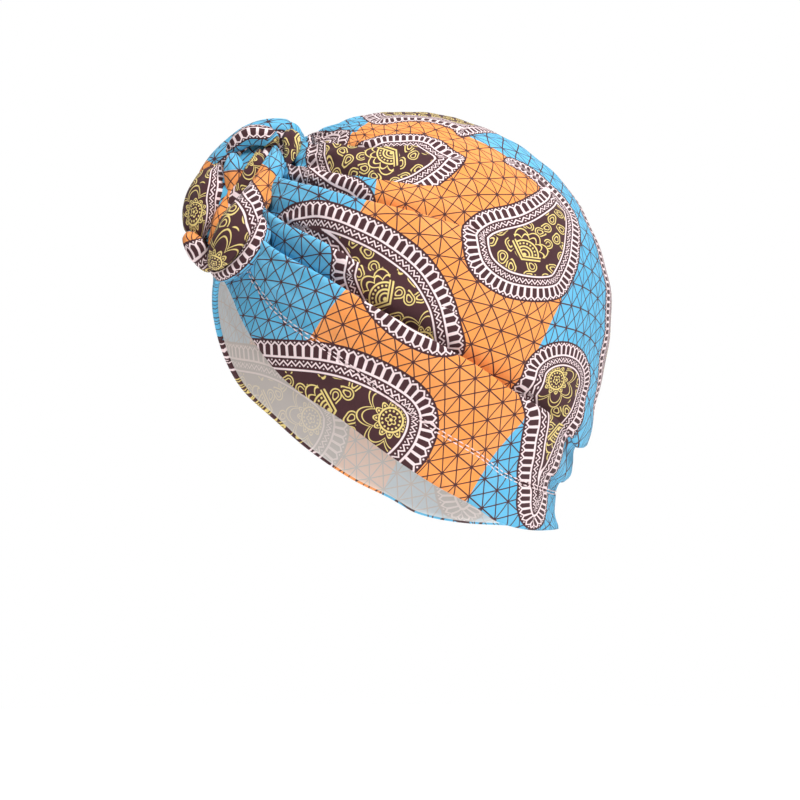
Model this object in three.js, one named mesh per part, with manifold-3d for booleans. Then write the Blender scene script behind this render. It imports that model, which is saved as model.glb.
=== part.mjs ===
// A pre-tied turban of printed stretch cloth: one draped crown with tucks that run back from
// the brow, and a rosette knot of rolled cloth on its front.
// Millimetres, +Z up, the wearer faces -Y and the wearer's left is +X. The origin is where the
// head bears, inside the top of the crown.
import * as THREE from "three";
import { mergeVertices } from "three/addons/utils/BufferGeometryUtils.js";
import Module from "manifold-3d";

const wasm = await Module();
wasm.setup();

// Crown, measured on the outside from the centre of the head
const headWidth = 152;
const crownFront = 93.5;
const crownBack = 101.5;
const crownRise = 95;
const napeDrop = 105; // from the centre of the head down to the hem at the nape
const sideInset = 0.17; // share by which the crown draws in below the ears
const napeInset = 0.26; // and at the nape
const insetPower = 1.5; // how late, on the way down, it draws in
const clothWall = 1.8;

// Tucks of the crown
const tuckDepth = 4.2; // lift of a tuck's lip over the layer behind it
const tuckWidth = 13; // breadth of the swell below a lip
const lipStep = 0.35; // half the breadth over which the lip drops
const napeTuck = 7.5; // depth of the sideways gathers over the nape

// Knot, seated on the crown's front
const knotLift = 35; // degrees above the brow line
const knotHalfWidth = 28;
const knotHalfHeight = 42;
const knotRise = 27;
const rollRadius = 9.5;
const pieceGap = 0.3;

// Where the crown's cloth gathers, under the top of the knot
const gatherLift = 60; // degrees
const drapeLift = 38; // degrees, the height that the cloth swings out to on its way there

const turns = 54; // columns round the crown
const rollSides = 10;
const rollSteps = 12;
const endRings = 2.4; // rings over which a roll's end draws in
const coreSides = 14;
const coreRings = 9;
const drapeSteps = 12; // chords that a drape's length is measured with
const mergeReach = 1e-4; // points nearer than this are one

// Lower edge: degrees round from the brow, and height as a share of napeDrop
const hemEdge = [
  { turn: 0, height: 0.14 },
  { turn: 7, height: 0.115 },
  { turn: 14, height: 0.04 },
  { turn: 19, height: -0.055 },
  { turn: 28, height: -0.215 },
  { turn: 38, height: -0.35 },
  { turn: 54, height: -0.495 },
  { turn: 68, height: -0.64 },
  { turn: 83, height: -0.77 },
  { turn: 99, height: -0.875 },
  { turn: 110, height: -0.95 },
  { turn: 127, height: -0.99 },
  { turn: 150, height: -1 },
];

// Tucks from the lowest up: share of the way from hem to gather at the knot, at the ear and at
// the nape; depth as a share of tuckDepth at the knot; and the turns between which it dies away
const tucks = [
  { knot: 0.39, ear: 0.265, nape: 0.17, depth: 1, fadeFrom: 118, fadeTo: 148 },
  { knot: 0.475, ear: 0.34, nape: 0.27, depth: 0.8, fadeFrom: 44, fadeTo: 68 },
  { knot: 0.6, ear: 0.475, nape: 0.4, depth: 0.9, fadeFrom: 58, fadeTo: 118 },
  { knot: 0.69, ear: 0.56, nape: 0.49, depth: 0.55, fadeFrom: 48, fadeTo: 76 },
  { knot: 0.885, ear: 0.675, nape: 0.62, depth: 0.6, fadeFrom: 56, fadeTo: 98 },
];
const knotTurn = 25;
const earTurn = 92;
const napeTurn = 150;

// Gathers over the nape: share of the lowest band, and offset as a share of napeTuck
const napeGathers = [
  { share: 0, offset: 0 },
  { share: 0.15, offset: -0.45 },
  { share: 0.35, offset: -0.85 },
  { share: 0.6, offset: -1 },
  { share: 0.66, offset: -0.5 },
  { share: 0.8, offset: -0.52 },
  { share: 0.98, offset: -0.6 },
  { share: 1.01, offset: 0.12 },
  { share: 1.35, offset: 0 },
];
const napeFrom = 118;
const napeTo = 150;

// Rows of the crown: the band they lie in, counted from the hem, and their share of it
const bandShares = [
  [0, 0.15, 0.35, 0.6, 0.66, 0.8, 0.92],
  [0.4, 0.75],
  [0.35, 0.7],
  [0.5],
  [0.35, 0.7],
  [0.3, 0.6, 0.85],
];

// Rolls of the knot, the uppermost first. Each row is a place on the roll's middle line and the
// half breadth and half thickness there: side as a share of knotHalfWidth, height of
// knotHalfHeight, rise of knotRise, broad and thick of rollRadius.
const rolls = {
  knot_front_roll: [
    { side: -0.2, height: 0.09, rise: 0.71, broad: 0.5, thick: 0.53 },
    { side: -0.14, height: -0.1, rise: 0.68, broad: 0.95, thick: 0.8 },
    { side: -0.08, height: -0.28, rise: 0.62, broad: 1.3, thick: 0.96 },
    { side: -0.04, height: -0.48, rise: 0.54, broad: 1.3, thick: 0.96 },
    { side: 0.04, height: -0.67, rise: 0.44, broad: 1, thick: 0.8 },
    { side: 0.1, height: -0.81, rise: 0.3, broad: 0.6, thick: 0.58 },
  ],
  knot_top_fold: [
    { side: 0, height: 0.22, rise: 0.77, broad: 0.32, thick: 0.32 },
    { side: 0.18, height: 0.37, rise: 0.72, broad: 0.36, thick: 0.36 },
    { side: 0.29, height: 0.5, rise: 0.62, broad: 0.38, thick: 0.4 },
    { side: 0.36, height: 0.58, rise: 0.39, broad: 0.38, thick: 0.4 },
    { side: 0.32, height: 0.58, rise: 0.15, broad: 0.34, thick: 0.34 },
  ],
  knot_heart_roll: [
    { side: 0.25, height: 0.22, rise: 0.71, broad: 0.42, thick: 0.47 },
    { side: 0.29, height: 0.11, rise: 0.6, broad: 0.53, thick: 0.53 },
    { side: 0.32, height: -0.03, rise: 0.44, broad: 0.48, thick: 0.53 },
    { side: 0.34, height: -0.15, rise: 0.33, broad: 0.36, thick: 0.42 },
    { side: 0.37, height: -0.3, rise: 0.29, broad: 0.32, thick: 0.38 },
    { side: 0.4, height: -0.45, rise: 0.27, broad: 0.36, thick: 0.42 },
    { side: 0.4, height: -0.62, rise: 0.21, broad: 0.4, thick: 0.42 },
    { side: 0.33, height: -0.8, rise: 0.17, broad: 0.3, thick: 0.36 },
  ],
  knot_low_fold: [
    { side: 0.11, height: -0.73, rise: 0.52, broad: 0.38, thick: 0.38 },
    { side: 0.14, height: -0.85, rise: 0.42, broad: 0.5, thick: 0.5 },
    { side: 0.18, height: -0.92, rise: 0.21, broad: 0.55, thick: 0.53 },
    { side: 0.18, height: -0.94, rise: -0.03, broad: 0.5, thick: 0.5 },
    { side: 0.21, height: -0.95, rise: -0.25, broad: 0.38, thick: 0.42 },
  ],
  knot_inner_roll: [
    { side: 0.46, height: 0.4, rise: 0.4, broad: 0.32, thick: 0.4 },
    { side: 0.5, height: 0.25, rise: 0.3, broad: 0.42, thick: 0.46 },
    { side: 0.5, height: 0.09, rise: 0.27, broad: 0.44, thick: 0.46 },
    { side: 0.5, height: -0.05, rise: 0.26, broad: 0.38, thick: 0.42 },
    { side: 0.5, height: -0.18, rise: 0.19, broad: 0.27, thick: 0.38 },
    { side: 0.46, height: -0.31, rise: 0.16, broad: 0.19, thick: 0.27 },
  ],
  knot_near_roll: [
    { side: 0.43, height: 0.54, rise: 0.2, broad: 0.4, thick: 0.46 },
    { side: 0.57, height: 0.39, rise: 0.09, broad: 0.57, thick: 0.59 },
    { side: 0.68, height: 0.19, rise: 0.02, broad: 0.65, thick: 0.67 },
    { side: 0.75, height: -0.02, rise: 0.01, broad: 0.74, thick: 0.77 },
    { side: 0.86, height: -0.27, rise: 0.04, broad: 0.85, thick: 0.85 },
    { side: 0.96, height: -0.51, rise: 0.06, broad: 0.98, thick: 0.94 },
    { side: 0.89, height: -0.73, rise: 0.01, broad: 1, thick: 0.92 },
    { side: 0.61, height: -0.9, rise: -0.06, broad: 0.77, thick: 0.74 },
    { side: 0.21, height: -0.98, rise: -0.07, broad: 0.53, thick: 0.57 },
  ],
  knot_far_roll: [
    { side: -0.58, height: -0.34, rise: 0.42, broad: 0.63, thick: 0.74 },
    { side: -0.62, height: -0.12, rise: 0.52, broad: 0.9, thick: 0.95 },
    { side: -0.6, height: 0.12, rise: 0.54, broad: 1.08, thick: 0.95 },
    { side: -0.5, height: 0.36, rise: 0.47, broad: 1.1, thick: 0.95 },
    { side: -0.38, height: 0.57, rise: 0.36, broad: 1.05, thick: 0.95 },
    { side: -0.26, height: 0.74, rise: 0.17, broad: 0.92, thick: 0.89 },
    { side: -0.14, height: 0.85, rise: -0.07, broad: 0.68, thick: 0.74 },
    { side: 0.04, height: 0.81, rise: -0.26, broad: 0.47, thick: 0.53 },
  ],
  knot_gather_fold: [
    { side: 0.11, height: 0.81, rise: 0.09, broad: 0.42, thick: 0.42 },
    { side: 0.43, height: 0.71, rise: 0.02, broad: 0.48, thick: 0.48 },
    { side: 0.54, height: 0.61, rise: -0.07, broad: 0.44, thick: 0.42 },
    { side: 0.61, height: 0.46, rise: -0.14, broad: 0.32, thick: 0.32 },
    { side: 0.64, height: 0.34, rise: -0.19, broad: 0.22, thick: 0.24 },
  ],
  knot_side_roll: [
    { side: -0.36, height: 0.76, rise: -0.07, broad: 0.53, thick: 0.53 },
    { side: -0.75, height: 0.48, rise: -0.07, broad: 0.79, thick: 0.79 },
    { side: -0.89, height: 0.1, rise: -0.04, broad: 0.89, thick: 0.89 },
    { side: -0.89, height: -0.29, rise: 0, broad: 0.95, thick: 0.95 },
    { side: -0.75, height: -0.62, rise: -0.04, broad: 0.95, thick: 0.95 },
    { side: -0.39, height: -0.83, rise: -0.11, broad: 0.84, thick: 0.84 },
    { side: 0, height: -0.9, rise: -0.19, broad: 0.53, thick: 0.53 },
  ],
  knot_under_roll: [
    { side: 1.07, height: -0.28, rise: -0.18, broad: 0.42, thick: 0.42 },
    { side: 1.14, height: -0.43, rise: -0.29, broad: 0.63, thick: 0.53 },
    { side: 1.14, height: -0.64, rise: -0.35, broad: 0.8, thick: 0.58 },
    { side: 0.93, height: -0.83, rise: -0.33, broad: 0.8, thick: 0.58 },
    { side: 0.54, height: -0.95, rise: -0.27, broad: 0.68, thick: 0.53 },
    { side: 0.07, height: -0.97, rise: -0.14, broad: 0.53, thick: 0.47 },
  ],
};
// The tied heart of the knot, which the rolls lie on
const knotCore = { height: -0.03, rise: -0.02, halfWidth: 0.66, halfHeight: 0.76, depth: 0.62 };

const printBlue = { color: 0x55b4e0, roughness: 0.78, metalness: 0 };
const printOrange = { color: 0xf0a050, roughness: 0.78, metalness: 0 };
const printBrown = { color: 0x4a2f33, roughness: 0.78, metalness: 0 };
const rollFinish = {
  knot_front_roll: printBrown, knot_top_fold: printBrown, knot_heart_roll: printOrange,
  knot_low_fold: printOrange, knot_inner_roll: printBrown, knot_near_roll: printBrown,
  knot_far_roll: printBlue, knot_gather_fold: printBrown, knot_side_roll: printBlue,
  knot_under_roll: printBrown,
};

// Curves and small sums

const radians = THREE.MathUtils.degToRad;
const smooth = THREE.MathUtils.smoothstep;

// Value of one column at x, eased between the rows of a table
function readTable(rows, key, column, x) {
  const last = rows.length - 1;
  if (x <= rows[0][key]) return rows[0][column];
  if (x >= rows[last][key]) return rows[last][column];
  const i = rows.findIndex((row) => row[key] > x) - 1;
  const slope = (a, b) => (rows[b][column] - rows[a][column]) / (rows[b][key] - rows[a][key]);
  const span = rows[i + 1][key] - rows[i][key];
  const f = (x - rows[i][key]) / span;
  const start = slope(Math.max(i - 1, 0), i + 1) * span;
  const end = slope(i, Math.min(i + 2, last)) * span;
  const rise = rows[i + 1][column] - rows[i][column];
  return rows[i][column] + f * start + f * f * (3 * rise - 2 * start - end)
    + f * f * f * (start + end - 2 * rise);
}

// The drape of the crown over the head

function direction(turn, lift) {
  const [phi, beta] = [radians(turn), radians(lift)];
  const flat = Math.cos(beta);
  return new THREE.Vector3(flat * Math.sin(phi), -flat * Math.cos(phi), Math.sin(beta));
}

// Point of the smooth crown that a direction from the head's centre names
function headPoint(way) {
  const beta = Math.asin(THREE.MathUtils.clamp(way.z, -1, 1));
  const phi = Math.atan2(way.x, -way.y);
  const z = beta >= 0 ? crownRise * Math.sin(beta) : crownRise * beta;
  const drawn = Math.pow(Math.max(-z / napeDrop, 0), insetPower);
  const girth = (inset) => (beta >= 0 ? Math.cos(beta) : 1 - inset * drawn);
  const length = Math.cos(phi) > 0 ? crownFront : crownBack;
  const across = headWidth / 2 * girth(sideInset) * Math.sin(phi);
  return new THREE.Vector3(across, -length * girth(napeInset) * Math.cos(phi), z);
}

function headNormal(point) {
  const length = point.y < 0 ? crownFront : crownBack;
  return new THREE.Vector3(
    point.x / (headWidth / 2) ** 2,
    point.y / length ** 2,
    Math.max(point.z, 0) / crownRise ** 2,
  ).normalize();
}

function hemDirection(turn) {
  const z = napeDrop * readTable(hemEdge, "turn", "height", Math.abs(turn));
  const beta = z >= 0 ? Math.asin(z / crownRise) : z / crownRise;
  return direction(turn, THREE.MathUtils.radToDeg(beta));
}

// From the hem (share 0) the cloth runs up and forward to the gather under the knot (share 1)
function drapePoint(turn, share) {
  const way = hemDirection(turn).multiplyScalar((1 - share) ** 2)
    .addScaledVector(direction(turn, drapeLift), 2 * share * (1 - share))
    .addScaledVector(direction(0, gatherLift), share ** 2);
  return headPoint(way.normalize());
}

function drapeLength(turn) {
  let length = 0;
  for (let i = 0; i < drapeSteps; i++) {
    const [start, end] = [drapePoint(turn, i / drapeSteps), drapePoint(turn, (i + 1) / drapeSteps)];
    length += start.distanceTo(end);
  }
  return length;
}

function tuckShare(tuck, turn) {
  const stations = [
    { at: 0, share: tuck.knot + (tuck.knot - tuck.ear) * knotTurn / (earTurn - knotTurn) },
    { at: knotTurn, share: tuck.knot },
    { at: earTurn, share: tuck.ear },
    { at: napeTurn, share: tuck.nape },
  ];
  return readTable(stations, "at", "share", Math.abs(turn));
}

function tuckFade(tuck, turn) {
  return tuck.depth * (1 - smooth(Math.abs(turn), tuck.fadeFrom, tuck.fadeTo));
}

// Lift of the cloth over the smooth crown: a swell below each lip, flat just behind it
function tuckLift(turn, share, length) {
  let lift = 0;
  for (const tuck of tucks) {
    const below = (tuckShare(tuck, turn) - share) * length;
    const swell = Math.exp(-((Math.max(below, 0) / tuckWidth) ** 2));
    lift += tuckFade(tuck, turn) * tuckDepth * swell * smooth(below, -lipStep, lipStep);
  }
  const band = share / tuckShare(tucks[0], turn);
  const gather = readTable(napeGathers, "share", "offset", band) * smooth(Math.abs(turn), napeFrom, napeTo);
  return lift + gather * napeTuck;
}

// Shares of the way up at which one column of the crown has its points
function rowShares(turn, length) {
  const lines = [0, ...tucks.map((tuck) => tuckShare(tuck, turn)), 1];
  const shares = [];
  bandShares.forEach((band, i) => {
    if (i > 0) shares.push(lines[i] - lipStep / length, lines[i] + lipStep / length);
    band.forEach((f) => shares.push(lines[i] + f * (lines[i + 1] - lines[i])));
  });
  return shares;
}

// One skin of the crown as rings of points, moved inwards by the wall, and up from the hem by it too
const hemShare = 0.1; // share of the way up over which the inner skin leaves the hem

function crownSkin(inset) {
  const columns = [];
  for (let c = 0; c < turns; c++) {
    const turn = 360 * c / turns - 180;
    const length = drapeLength(turn);
    columns.push(rowShares(turn, length).map((share) => {
      const sunk = Math.max(share - Math.max(inset, 0) / length * smooth(share, 0, hemShare), 0);
      const point = drapePoint(turn, sunk);
      const lift = tuckLift(turn, share, length) - inset;
      return point.addScaledVector(headNormal(point), lift);
    }));
  }
  const pole = headPoint(direction(0, gatherLift));
  pole.addScaledVector(headNormal(pole), -inset);
  return { columns, pole };
}

// Meshes and solids

function meshOf(points, faces) {
  const geometry = new THREE.BufferGeometry();
  const places = points.flatMap((p) => p.toArray());
  geometry.setAttribute("position", new THREE.Float32BufferAttribute(places, 3));
  geometry.setIndex(faces.flat());
  return geometry;
}

// Faces over a skin's rings up to its pole, whose points start at `first`
function skinFaces(skin, first, outward) {
  const rows = skin.columns[0].length;
  const at = (c, r) => first + (c % turns) * rows + r;
  const pole = first + turns * rows;
  const faces = [];
  for (let c = 0; c < turns; c++) {
    for (let r = 0; r < rows - 1; r++) {
      faces.push([at(c, r), at(c + 1, r), at(c + 1, r + 1)], [at(c, r), at(c + 1, r + 1), at(c, r + 1)]);
    }
    faces.push([at(c, rows - 1), at(c + 1, rows - 1), pole]);
  }
  return outward ? faces : faces.map(([a, b, d]) => [a, d, b]);
}

function crownGeometry() {
  const outer = crownSkin(0);
  const inner = crownSkin(clothWall);
  const rows = outer.columns[0].length;
  const innerFirst = turns * rows + 1;
  const faces = [...skinFaces(outer, 0, true), ...skinFaces(inner, innerFirst, false)];
  for (let c = 0; c < turns; c++) {
    const [a, b] = [c * rows, ((c + 1) % turns) * rows];
    faces.push([a, innerFirst + a, b], [b, innerFirst + a, innerFirst + b]);
  }
  return meshOf([...outer.columns.flat(), outer.pole, ...inner.columns.flat(), inner.pole], faces);
}

// The crown filled in and grown by the gap, to trim what lies on it
function crownTrimmer() {
  const skin = crownSkin(-pieceGap);
  const rows = skin.columns[0].length;
  const apex = new THREE.Vector3(0, 0, -napeDrop / 3); // anywhere well inside the head
  const points = [...skin.columns.flat(), skin.pole, apex];
  const faces = skinFaces(skin, 0, true);
  for (let c = 0; c < turns; c++) faces.push([((c + 1) % turns) * rows, c * rows, points.length - 1]);
  return solidOf(meshOf(points, faces));
}

function solidOf(geometry) {
  geometry.deleteAttribute("normal");
  geometry.deleteAttribute("uv");
  const merged = mergeVertices(geometry, mergeReach);
  return new wasm.Manifold(new wasm.Mesh({
    numProp: 3,
    vertProperties: new Float32Array(merged.getAttribute("position").array),
    triVerts: new Uint32Array(merged.getIndex().array),
  }));
}

function geometryOf(solid) {
  const mesh = solid.getMesh();
  const geometry = new THREE.BufferGeometry();
  const places = new Float32Array(mesh.vertProperties);
  geometry.setAttribute("position", new THREE.BufferAttribute(places, 3));
  geometry.setIndex(new THREE.BufferAttribute(new Uint32Array(mesh.triVerts), 1));
  geometry.computeVertexNormals();
  return geometry;
}

// The knot stands square to the crown at its seat
const knotSeat = headPoint(direction(0, knotLift));
const knotOut = headNormal(knotSeat);
const knotAcross = new THREE.Vector3(1, 0, 0);
const knotUp = new THREE.Vector3().crossVectors(knotOut, knotAcross);

function knotPoint(side, height, rise) {
  return knotSeat.clone().addScaledVector(knotAcross, side * knotHalfWidth)
    .addScaledVector(knotUp, height * knotHalfHeight).addScaledVector(knotOut, rise * knotRise);
}

// A roll of cloth: oval rings along a smooth middle line, drawn in to round ends
function rollGeometry(rows, grow) {
  const spots = rows.map((row) => knotPoint(row.side, row.height, row.rise));
  const middle = new THREE.CatmullRomCurve3(spots, false, "catmullrom");
  const stations = rows.map((row, i) => ({ ...row, at: i / (rows.length - 1) }));
  const points = [];
  const faces = [];
  const first = middle.getPoint(0).addScaledVector(middle.getTangent(0), -grow);
  const last = middle.getPoint(1).addScaledVector(middle.getTangent(1), grow);
  for (let i = 0; i < rollSteps; i++) {
    const along = (i + 0.5) / rollSteps;
    const centre = middle.getPoint(along);
    const across = new THREE.Vector3().crossVectors(middle.getTangent(along), knotOut).normalize();
    const outward = new THREE.Vector3().crossVectors(across, middle.getTangent(along)).normalize();
    const drawn = Math.sqrt(Math.min(1, (i + 0.5) / endRings, (rollSteps - 0.5 - i) / endRings));
    const broad = drawn * rollRadius * readTable(stations, "at", "broad", along) + grow;
    const thick = drawn * rollRadius * readTable(stations, "at", "thick", along) + grow;
    for (let k = 0; k < rollSides; k++) {
      const angle = 2 * Math.PI * k / rollSides;
      points.push(centre.clone().addScaledVector(across, broad * Math.cos(angle))
        .addScaledVector(outward, thick * Math.sin(angle)));
    }
  }
  points.push(first, last);
  for (let i = 0; i < rollSteps; i++) {
    for (let k = 0; k < rollSides; k++) {
      const [a, b] = [i * rollSides + k, i * rollSides + (k + 1) % rollSides];
      if (i === 0) faces.push([points.length - 2, a, b]);
      if (i === rollSteps - 1) faces.push([points.length - 1, b, a]);
      else faces.push([a, b + rollSides, b], [a, a + rollSides, b + rollSides]);
    }
  }
  return meshOf(points, faces);
}

function coreGeometry() {
  const core = new THREE.SphereGeometry(1, coreSides, coreRings);
  const middle = knotPoint(0, knotCore.height, knotCore.rise);
  const size = new THREE.Vector3(
    knotCore.halfWidth * knotHalfWidth,
    knotCore.halfHeight * knotHalfHeight,
    knotCore.depth * knotRise,
  );
  const place = new THREE.Matrix4().makeBasis(knotAcross, knotUp, knotOut).scale(size).setPosition(middle);
  return core.applyMatrix4(place);
}

function largestPart(solid) {
  return solid.decompose().sort((a, b) => b.volume() - a.volume())[0];
}

// Assembly

function piece(name, geometry, finish) {
  const mesh = new THREE.Mesh(geometry, new THREE.MeshStandardMaterial(finish));
  mesh.name = name;
  return mesh;
}

const turban = new THREE.Group();
turban.name = "turban";
turban.position.z = clothWall - crownRise; // the origin is inside the top of the crown

turban.add(piece("crown", crownGeometry(), printOrange));

// Each roll keeps its own form where it lies uppermost and is pressed in by those over it
let over = crownTrimmer();
for (const [name, rows] of Object.entries(rolls)) {
  const roll = largestPart(solidOf(rollGeometry(rows, 0)).subtract(over));
  turban.add(piece(name, geometryOf(roll), rollFinish[name]));
  over = over.add(solidOf(rollGeometry(rows, pieceGap)));
}
turban.add(piece("knot_core", geometryOf(largestPart(solidOf(coreGeometry()).subtract(over))), printBrown));

export default turban;
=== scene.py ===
import math

import bpy
import numpy as np
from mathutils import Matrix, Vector


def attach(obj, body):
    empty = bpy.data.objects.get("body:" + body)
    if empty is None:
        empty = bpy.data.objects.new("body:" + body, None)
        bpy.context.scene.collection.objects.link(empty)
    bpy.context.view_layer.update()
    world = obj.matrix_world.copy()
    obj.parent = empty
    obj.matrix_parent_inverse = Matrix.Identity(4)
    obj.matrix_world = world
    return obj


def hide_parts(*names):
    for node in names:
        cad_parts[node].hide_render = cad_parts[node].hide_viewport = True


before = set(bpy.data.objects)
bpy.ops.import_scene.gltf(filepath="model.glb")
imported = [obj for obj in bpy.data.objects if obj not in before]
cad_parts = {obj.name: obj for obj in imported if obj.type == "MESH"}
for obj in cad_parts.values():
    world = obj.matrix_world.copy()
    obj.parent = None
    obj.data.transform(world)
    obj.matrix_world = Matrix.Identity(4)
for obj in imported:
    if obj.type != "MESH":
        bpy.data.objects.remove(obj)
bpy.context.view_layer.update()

form = {
    "width": 152, "front": 93.5, "back": 101.5, "rise": 95, "napeDrop": 105,
    "sideInset": 0.17, "napeInset": 0.26,
}
cloth = {
    "wall": 1.8, "tuckDepth": 4.2, "tuckWidth": 13, "napeTuck": 7.5,
    "gatherLift": 60, "drapeLift": 38, "napeFrom": 118, "napeTo": 150,
}
photo = {"size": 800, "formX": 405, "formY": 310, "mmPerPixel": 0.48, "azimuth": 72, "distance": 1600,
         "sensor": 36, "searchBefore": 160, "searchBeyond": 120, "searchSteps": 5601}
mm = 0.001
formCentre = np.array([0, 0, cloth["wall"] - form["rise"]])

hemEdge = [
    {"turn": 0, "height": 0.14}, {"turn": 7, "height": 0.115}, {"turn": 14, "height": 0.04},
    {"turn": 19, "height": -0.055}, {"turn": 28, "height": -0.215}, {"turn": 38, "height": -0.35},
    {"turn": 54, "height": -0.495}, {"turn": 68, "height": -0.64}, {"turn": 83, "height": -0.77},
    {"turn": 99, "height": -0.875}, {"turn": 110, "height": -0.95}, {"turn": 127, "height": -0.99},
    {"turn": 150, "height": -1},
]
tucks = [
    {"knot": 0.35, "side": 0.25, "nape": 0.17, "depth": 1, "fadeFrom": 118, "fadeTo": 148, "slant": 17},
    {"knot": 0.445, "side": 0.32, "nape": 0.27, "depth": 0.8, "fadeFrom": 52, "fadeTo": 80, "slant": 8},
    {"knot": 0.585, "side": 0.465, "nape": 0.4, "depth": 0.9, "fadeFrom": 70, "fadeTo": 122, "slant": 9},
    {"knot": 0.675, "side": 0.543, "nape": 0.49, "depth": 0.55, "fadeFrom": 62, "fadeTo": 98, "slant": 5},
    {"knot": 0.88, "side": 0.668, "nape": 0.62, "depth": 0.6, "fadeFrom": 68, "fadeTo": 116, "slant": 9},
]
tuckTurns = {"knot": 25, "side": 92, "nape": 150}
napeGathers = [
    {"share": 0, "offset": 0}, {"share": 0.15, "offset": -0.45}, {"share": 0.35, "offset": -0.85},
    {"share": 0.6, "offset": -1}, {"share": 0.66, "offset": -0.5}, {"share": 0.8, "offset": -0.52},
    {"share": 0.98, "offset": -0.6}, {"share": 1.01, "offset": 0.12}, {"share": 1.35, "offset": 0},
]


# Curves

def readTable(rows, key, column, x):
    at = np.array([row[key] for row in rows], float)
    value = np.array([row[column] for row in rows], float)
    x = np.clip(x, at[0], at[-1])
    i = np.clip(np.searchsorted(at, x, side="right") - 1, 0, len(at) - 2)
    order = np.arange(len(at))
    before, after = np.maximum(order - 1, 0), np.minimum(order + 1, len(at) - 1)
    slope = (value[after] - value[before]) / (at[after] - at[before])
    span, rise = at[i + 1] - at[i], value[i + 1] - value[i]
    f = (x - at[i]) / span
    start, end = slope[i] * span, slope[i + 1] * span
    return value[i] + f * start + f**2 * (3 * rise - 2 * start - end) + f**3 * (start + end - 2 * rise)


def ease(x, low, high):
    f = np.clip((x - low) / (high - low), 0, 1)
    return f * f * (3 - 2 * f)


def unit(v):
    return v / np.linalg.norm(v, axis=-1, keepdims=True)


def ripple(x, y, seed, size):  # smooth uneven swell, about -1 to 1, its waves `size` long
    draw = np.random.default_rng(seed)
    total = 0
    for angle, phase, stretch in zip(draw.uniform(0, 2 * math.pi, 5), draw.uniform(0, 2 * math.pi, 5),
                                     draw.uniform(0.7, 1.5, 5)):
        total = total + np.sin((x * math.cos(angle) + y * math.sin(angle)) * stretch * 2 * math.pi / size + phase)
    return total / 3


# The smooth form that the crown is draped on

def direction(turn, lift):
    phi, beta = np.radians(turn), np.radians(lift)
    flat = np.cos(beta)
    return np.stack(np.broadcast_arrays(flat * np.sin(phi), -flat * np.cos(phi), np.sin(beta)), -1)


def liftOfHeight(z):  # radians up from the middle of the form, on its dome or on the straight wall below
    return np.where(z >= 0, np.arcsin(np.clip(z / form["rise"], -1, 1)), z / form["rise"])


def drawnIn(z):  # how far the wall below the middle has drawn in, from 0 to 1 at the hem's lowest point
    return np.maximum(-z / form["napeDrop"], 0) ** 1.5


def formPoint(way):
    beta = np.arcsin(np.clip(way[..., 2], -1, 1))
    phi = np.arctan2(way[..., 0], -way[..., 1])
    z = np.where(beta >= 0, form["rise"] * np.sin(beta), form["rise"] * beta)
    length = np.where(np.cos(phi) > 0, form["front"], form["back"])
    side = np.where(beta >= 0, np.cos(beta), 1 - form["sideInset"] * drawnIn(z))
    ends = np.where(beta >= 0, np.cos(beta), 1 - form["napeInset"] * drawnIn(z))
    return np.stack([form["width"] / 2 * side * np.sin(phi), -length * ends * np.cos(phi), z], -1)


def wayOf(point):  # the direction that formPoint takes to a point of its surface
    z = point[..., 2]
    length = np.where(point[..., 1] < 0, form["front"], form["back"])
    across = point[..., 0] / (form["width"] / 2 * (1 - form["sideInset"] * drawnIn(z)))
    along = -point[..., 1] / (length * (1 - form["napeInset"] * drawnIn(z)))
    return direction(np.degrees(np.arctan2(across, along)), np.degrees(liftOfHeight(z)))


def formNormal(point):
    length = np.where(point[..., 1] < 0, form["front"], form["back"])
    return unit(np.stack([point[..., 0] / (form["width"] / 2) ** 2, point[..., 1] / length**2,
                          np.maximum(point[..., 2], 0) / form["rise"] ** 2], -1))


def drapeWay(turn, share):  # direction at a share of the way up the cloth from the hem to where it is gathered
    lift = np.degrees(liftOfHeight(form["napeDrop"] * readTable(hemEdge, "turn", "height", np.abs(turn))))
    share = share[..., None]
    return unit(direction(turn, lift) * (1 - share) ** 2
                + direction(turn, cloth["drapeLift"]) * 2 * share * (1 - share)
                + direction(0, cloth["gatherLift"]) * share**2)


def drapeLength(turn):
    share = np.linspace(0, 1, 13)[None, :]
    path = formPoint(drapeWay(turn[:, None] + 0 * share, share + 0 * turn[:, None]))
    return np.linalg.norm(np.diff(path, axis=1), axis=2).sum(1)


def tuckShare(tuck, turn):
    step = (tuck["knot"] - tuck["side"]) * tuckTurns["knot"] / (tuckTurns["side"] - tuckTurns["knot"])
    stations = [{"at": 0, "share": tuck["knot"] + step}]
    stations += [{"at": tuckTurns[name], "share": tuck[name]} for name in tuckTurns]
    return readTable(stations, "at", "share", np.abs(turn))


def tuckFade(tuck, turn):
    return tuck["depth"] * (1 - ease(np.abs(turn), tuck["fadeFrom"], tuck["fadeTo"]))


# The photograph's camera, and the cloth's own flat coordinates seen along it

def cameraAxes():
    turn = math.radians(photo["azimuth"])
    right = np.array([math.cos(turn), math.sin(turn), 0])
    back = np.array([math.sin(turn), -math.cos(turn), 0])
    return right, np.array([0, 0, 1]), back


def makeCamera():
    right, up, back = cameraAxes()
    middle = photo["size"] / 2
    aim = right * (middle - photo["formX"]) * photo["mmPerPixel"]
    aim = aim + up * (photo["formY"] - middle) * photo["mmPerPixel"]
    place = aim + back * photo["distance"]
    data = bpy.data.cameras.new("camera")
    data.sensor_width = photo["sensor"]
    data.lens = photo["sensor"] * photo["distance"] / photo["mmPerPixel"] / photo["size"]
    camera = bpy.data.objects.new("camera", data)
    bpy.context.scene.collection.objects.link(camera)
    camera.location = Vector((place + formCentre) * mm)
    camera.rotation_euler = Vector(back).to_track_quat("Z", "Y").to_euler()
    bpy.context.scene.camera = camera
    return place


cameraPlace = makeCamera()
print("camera placed")


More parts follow.
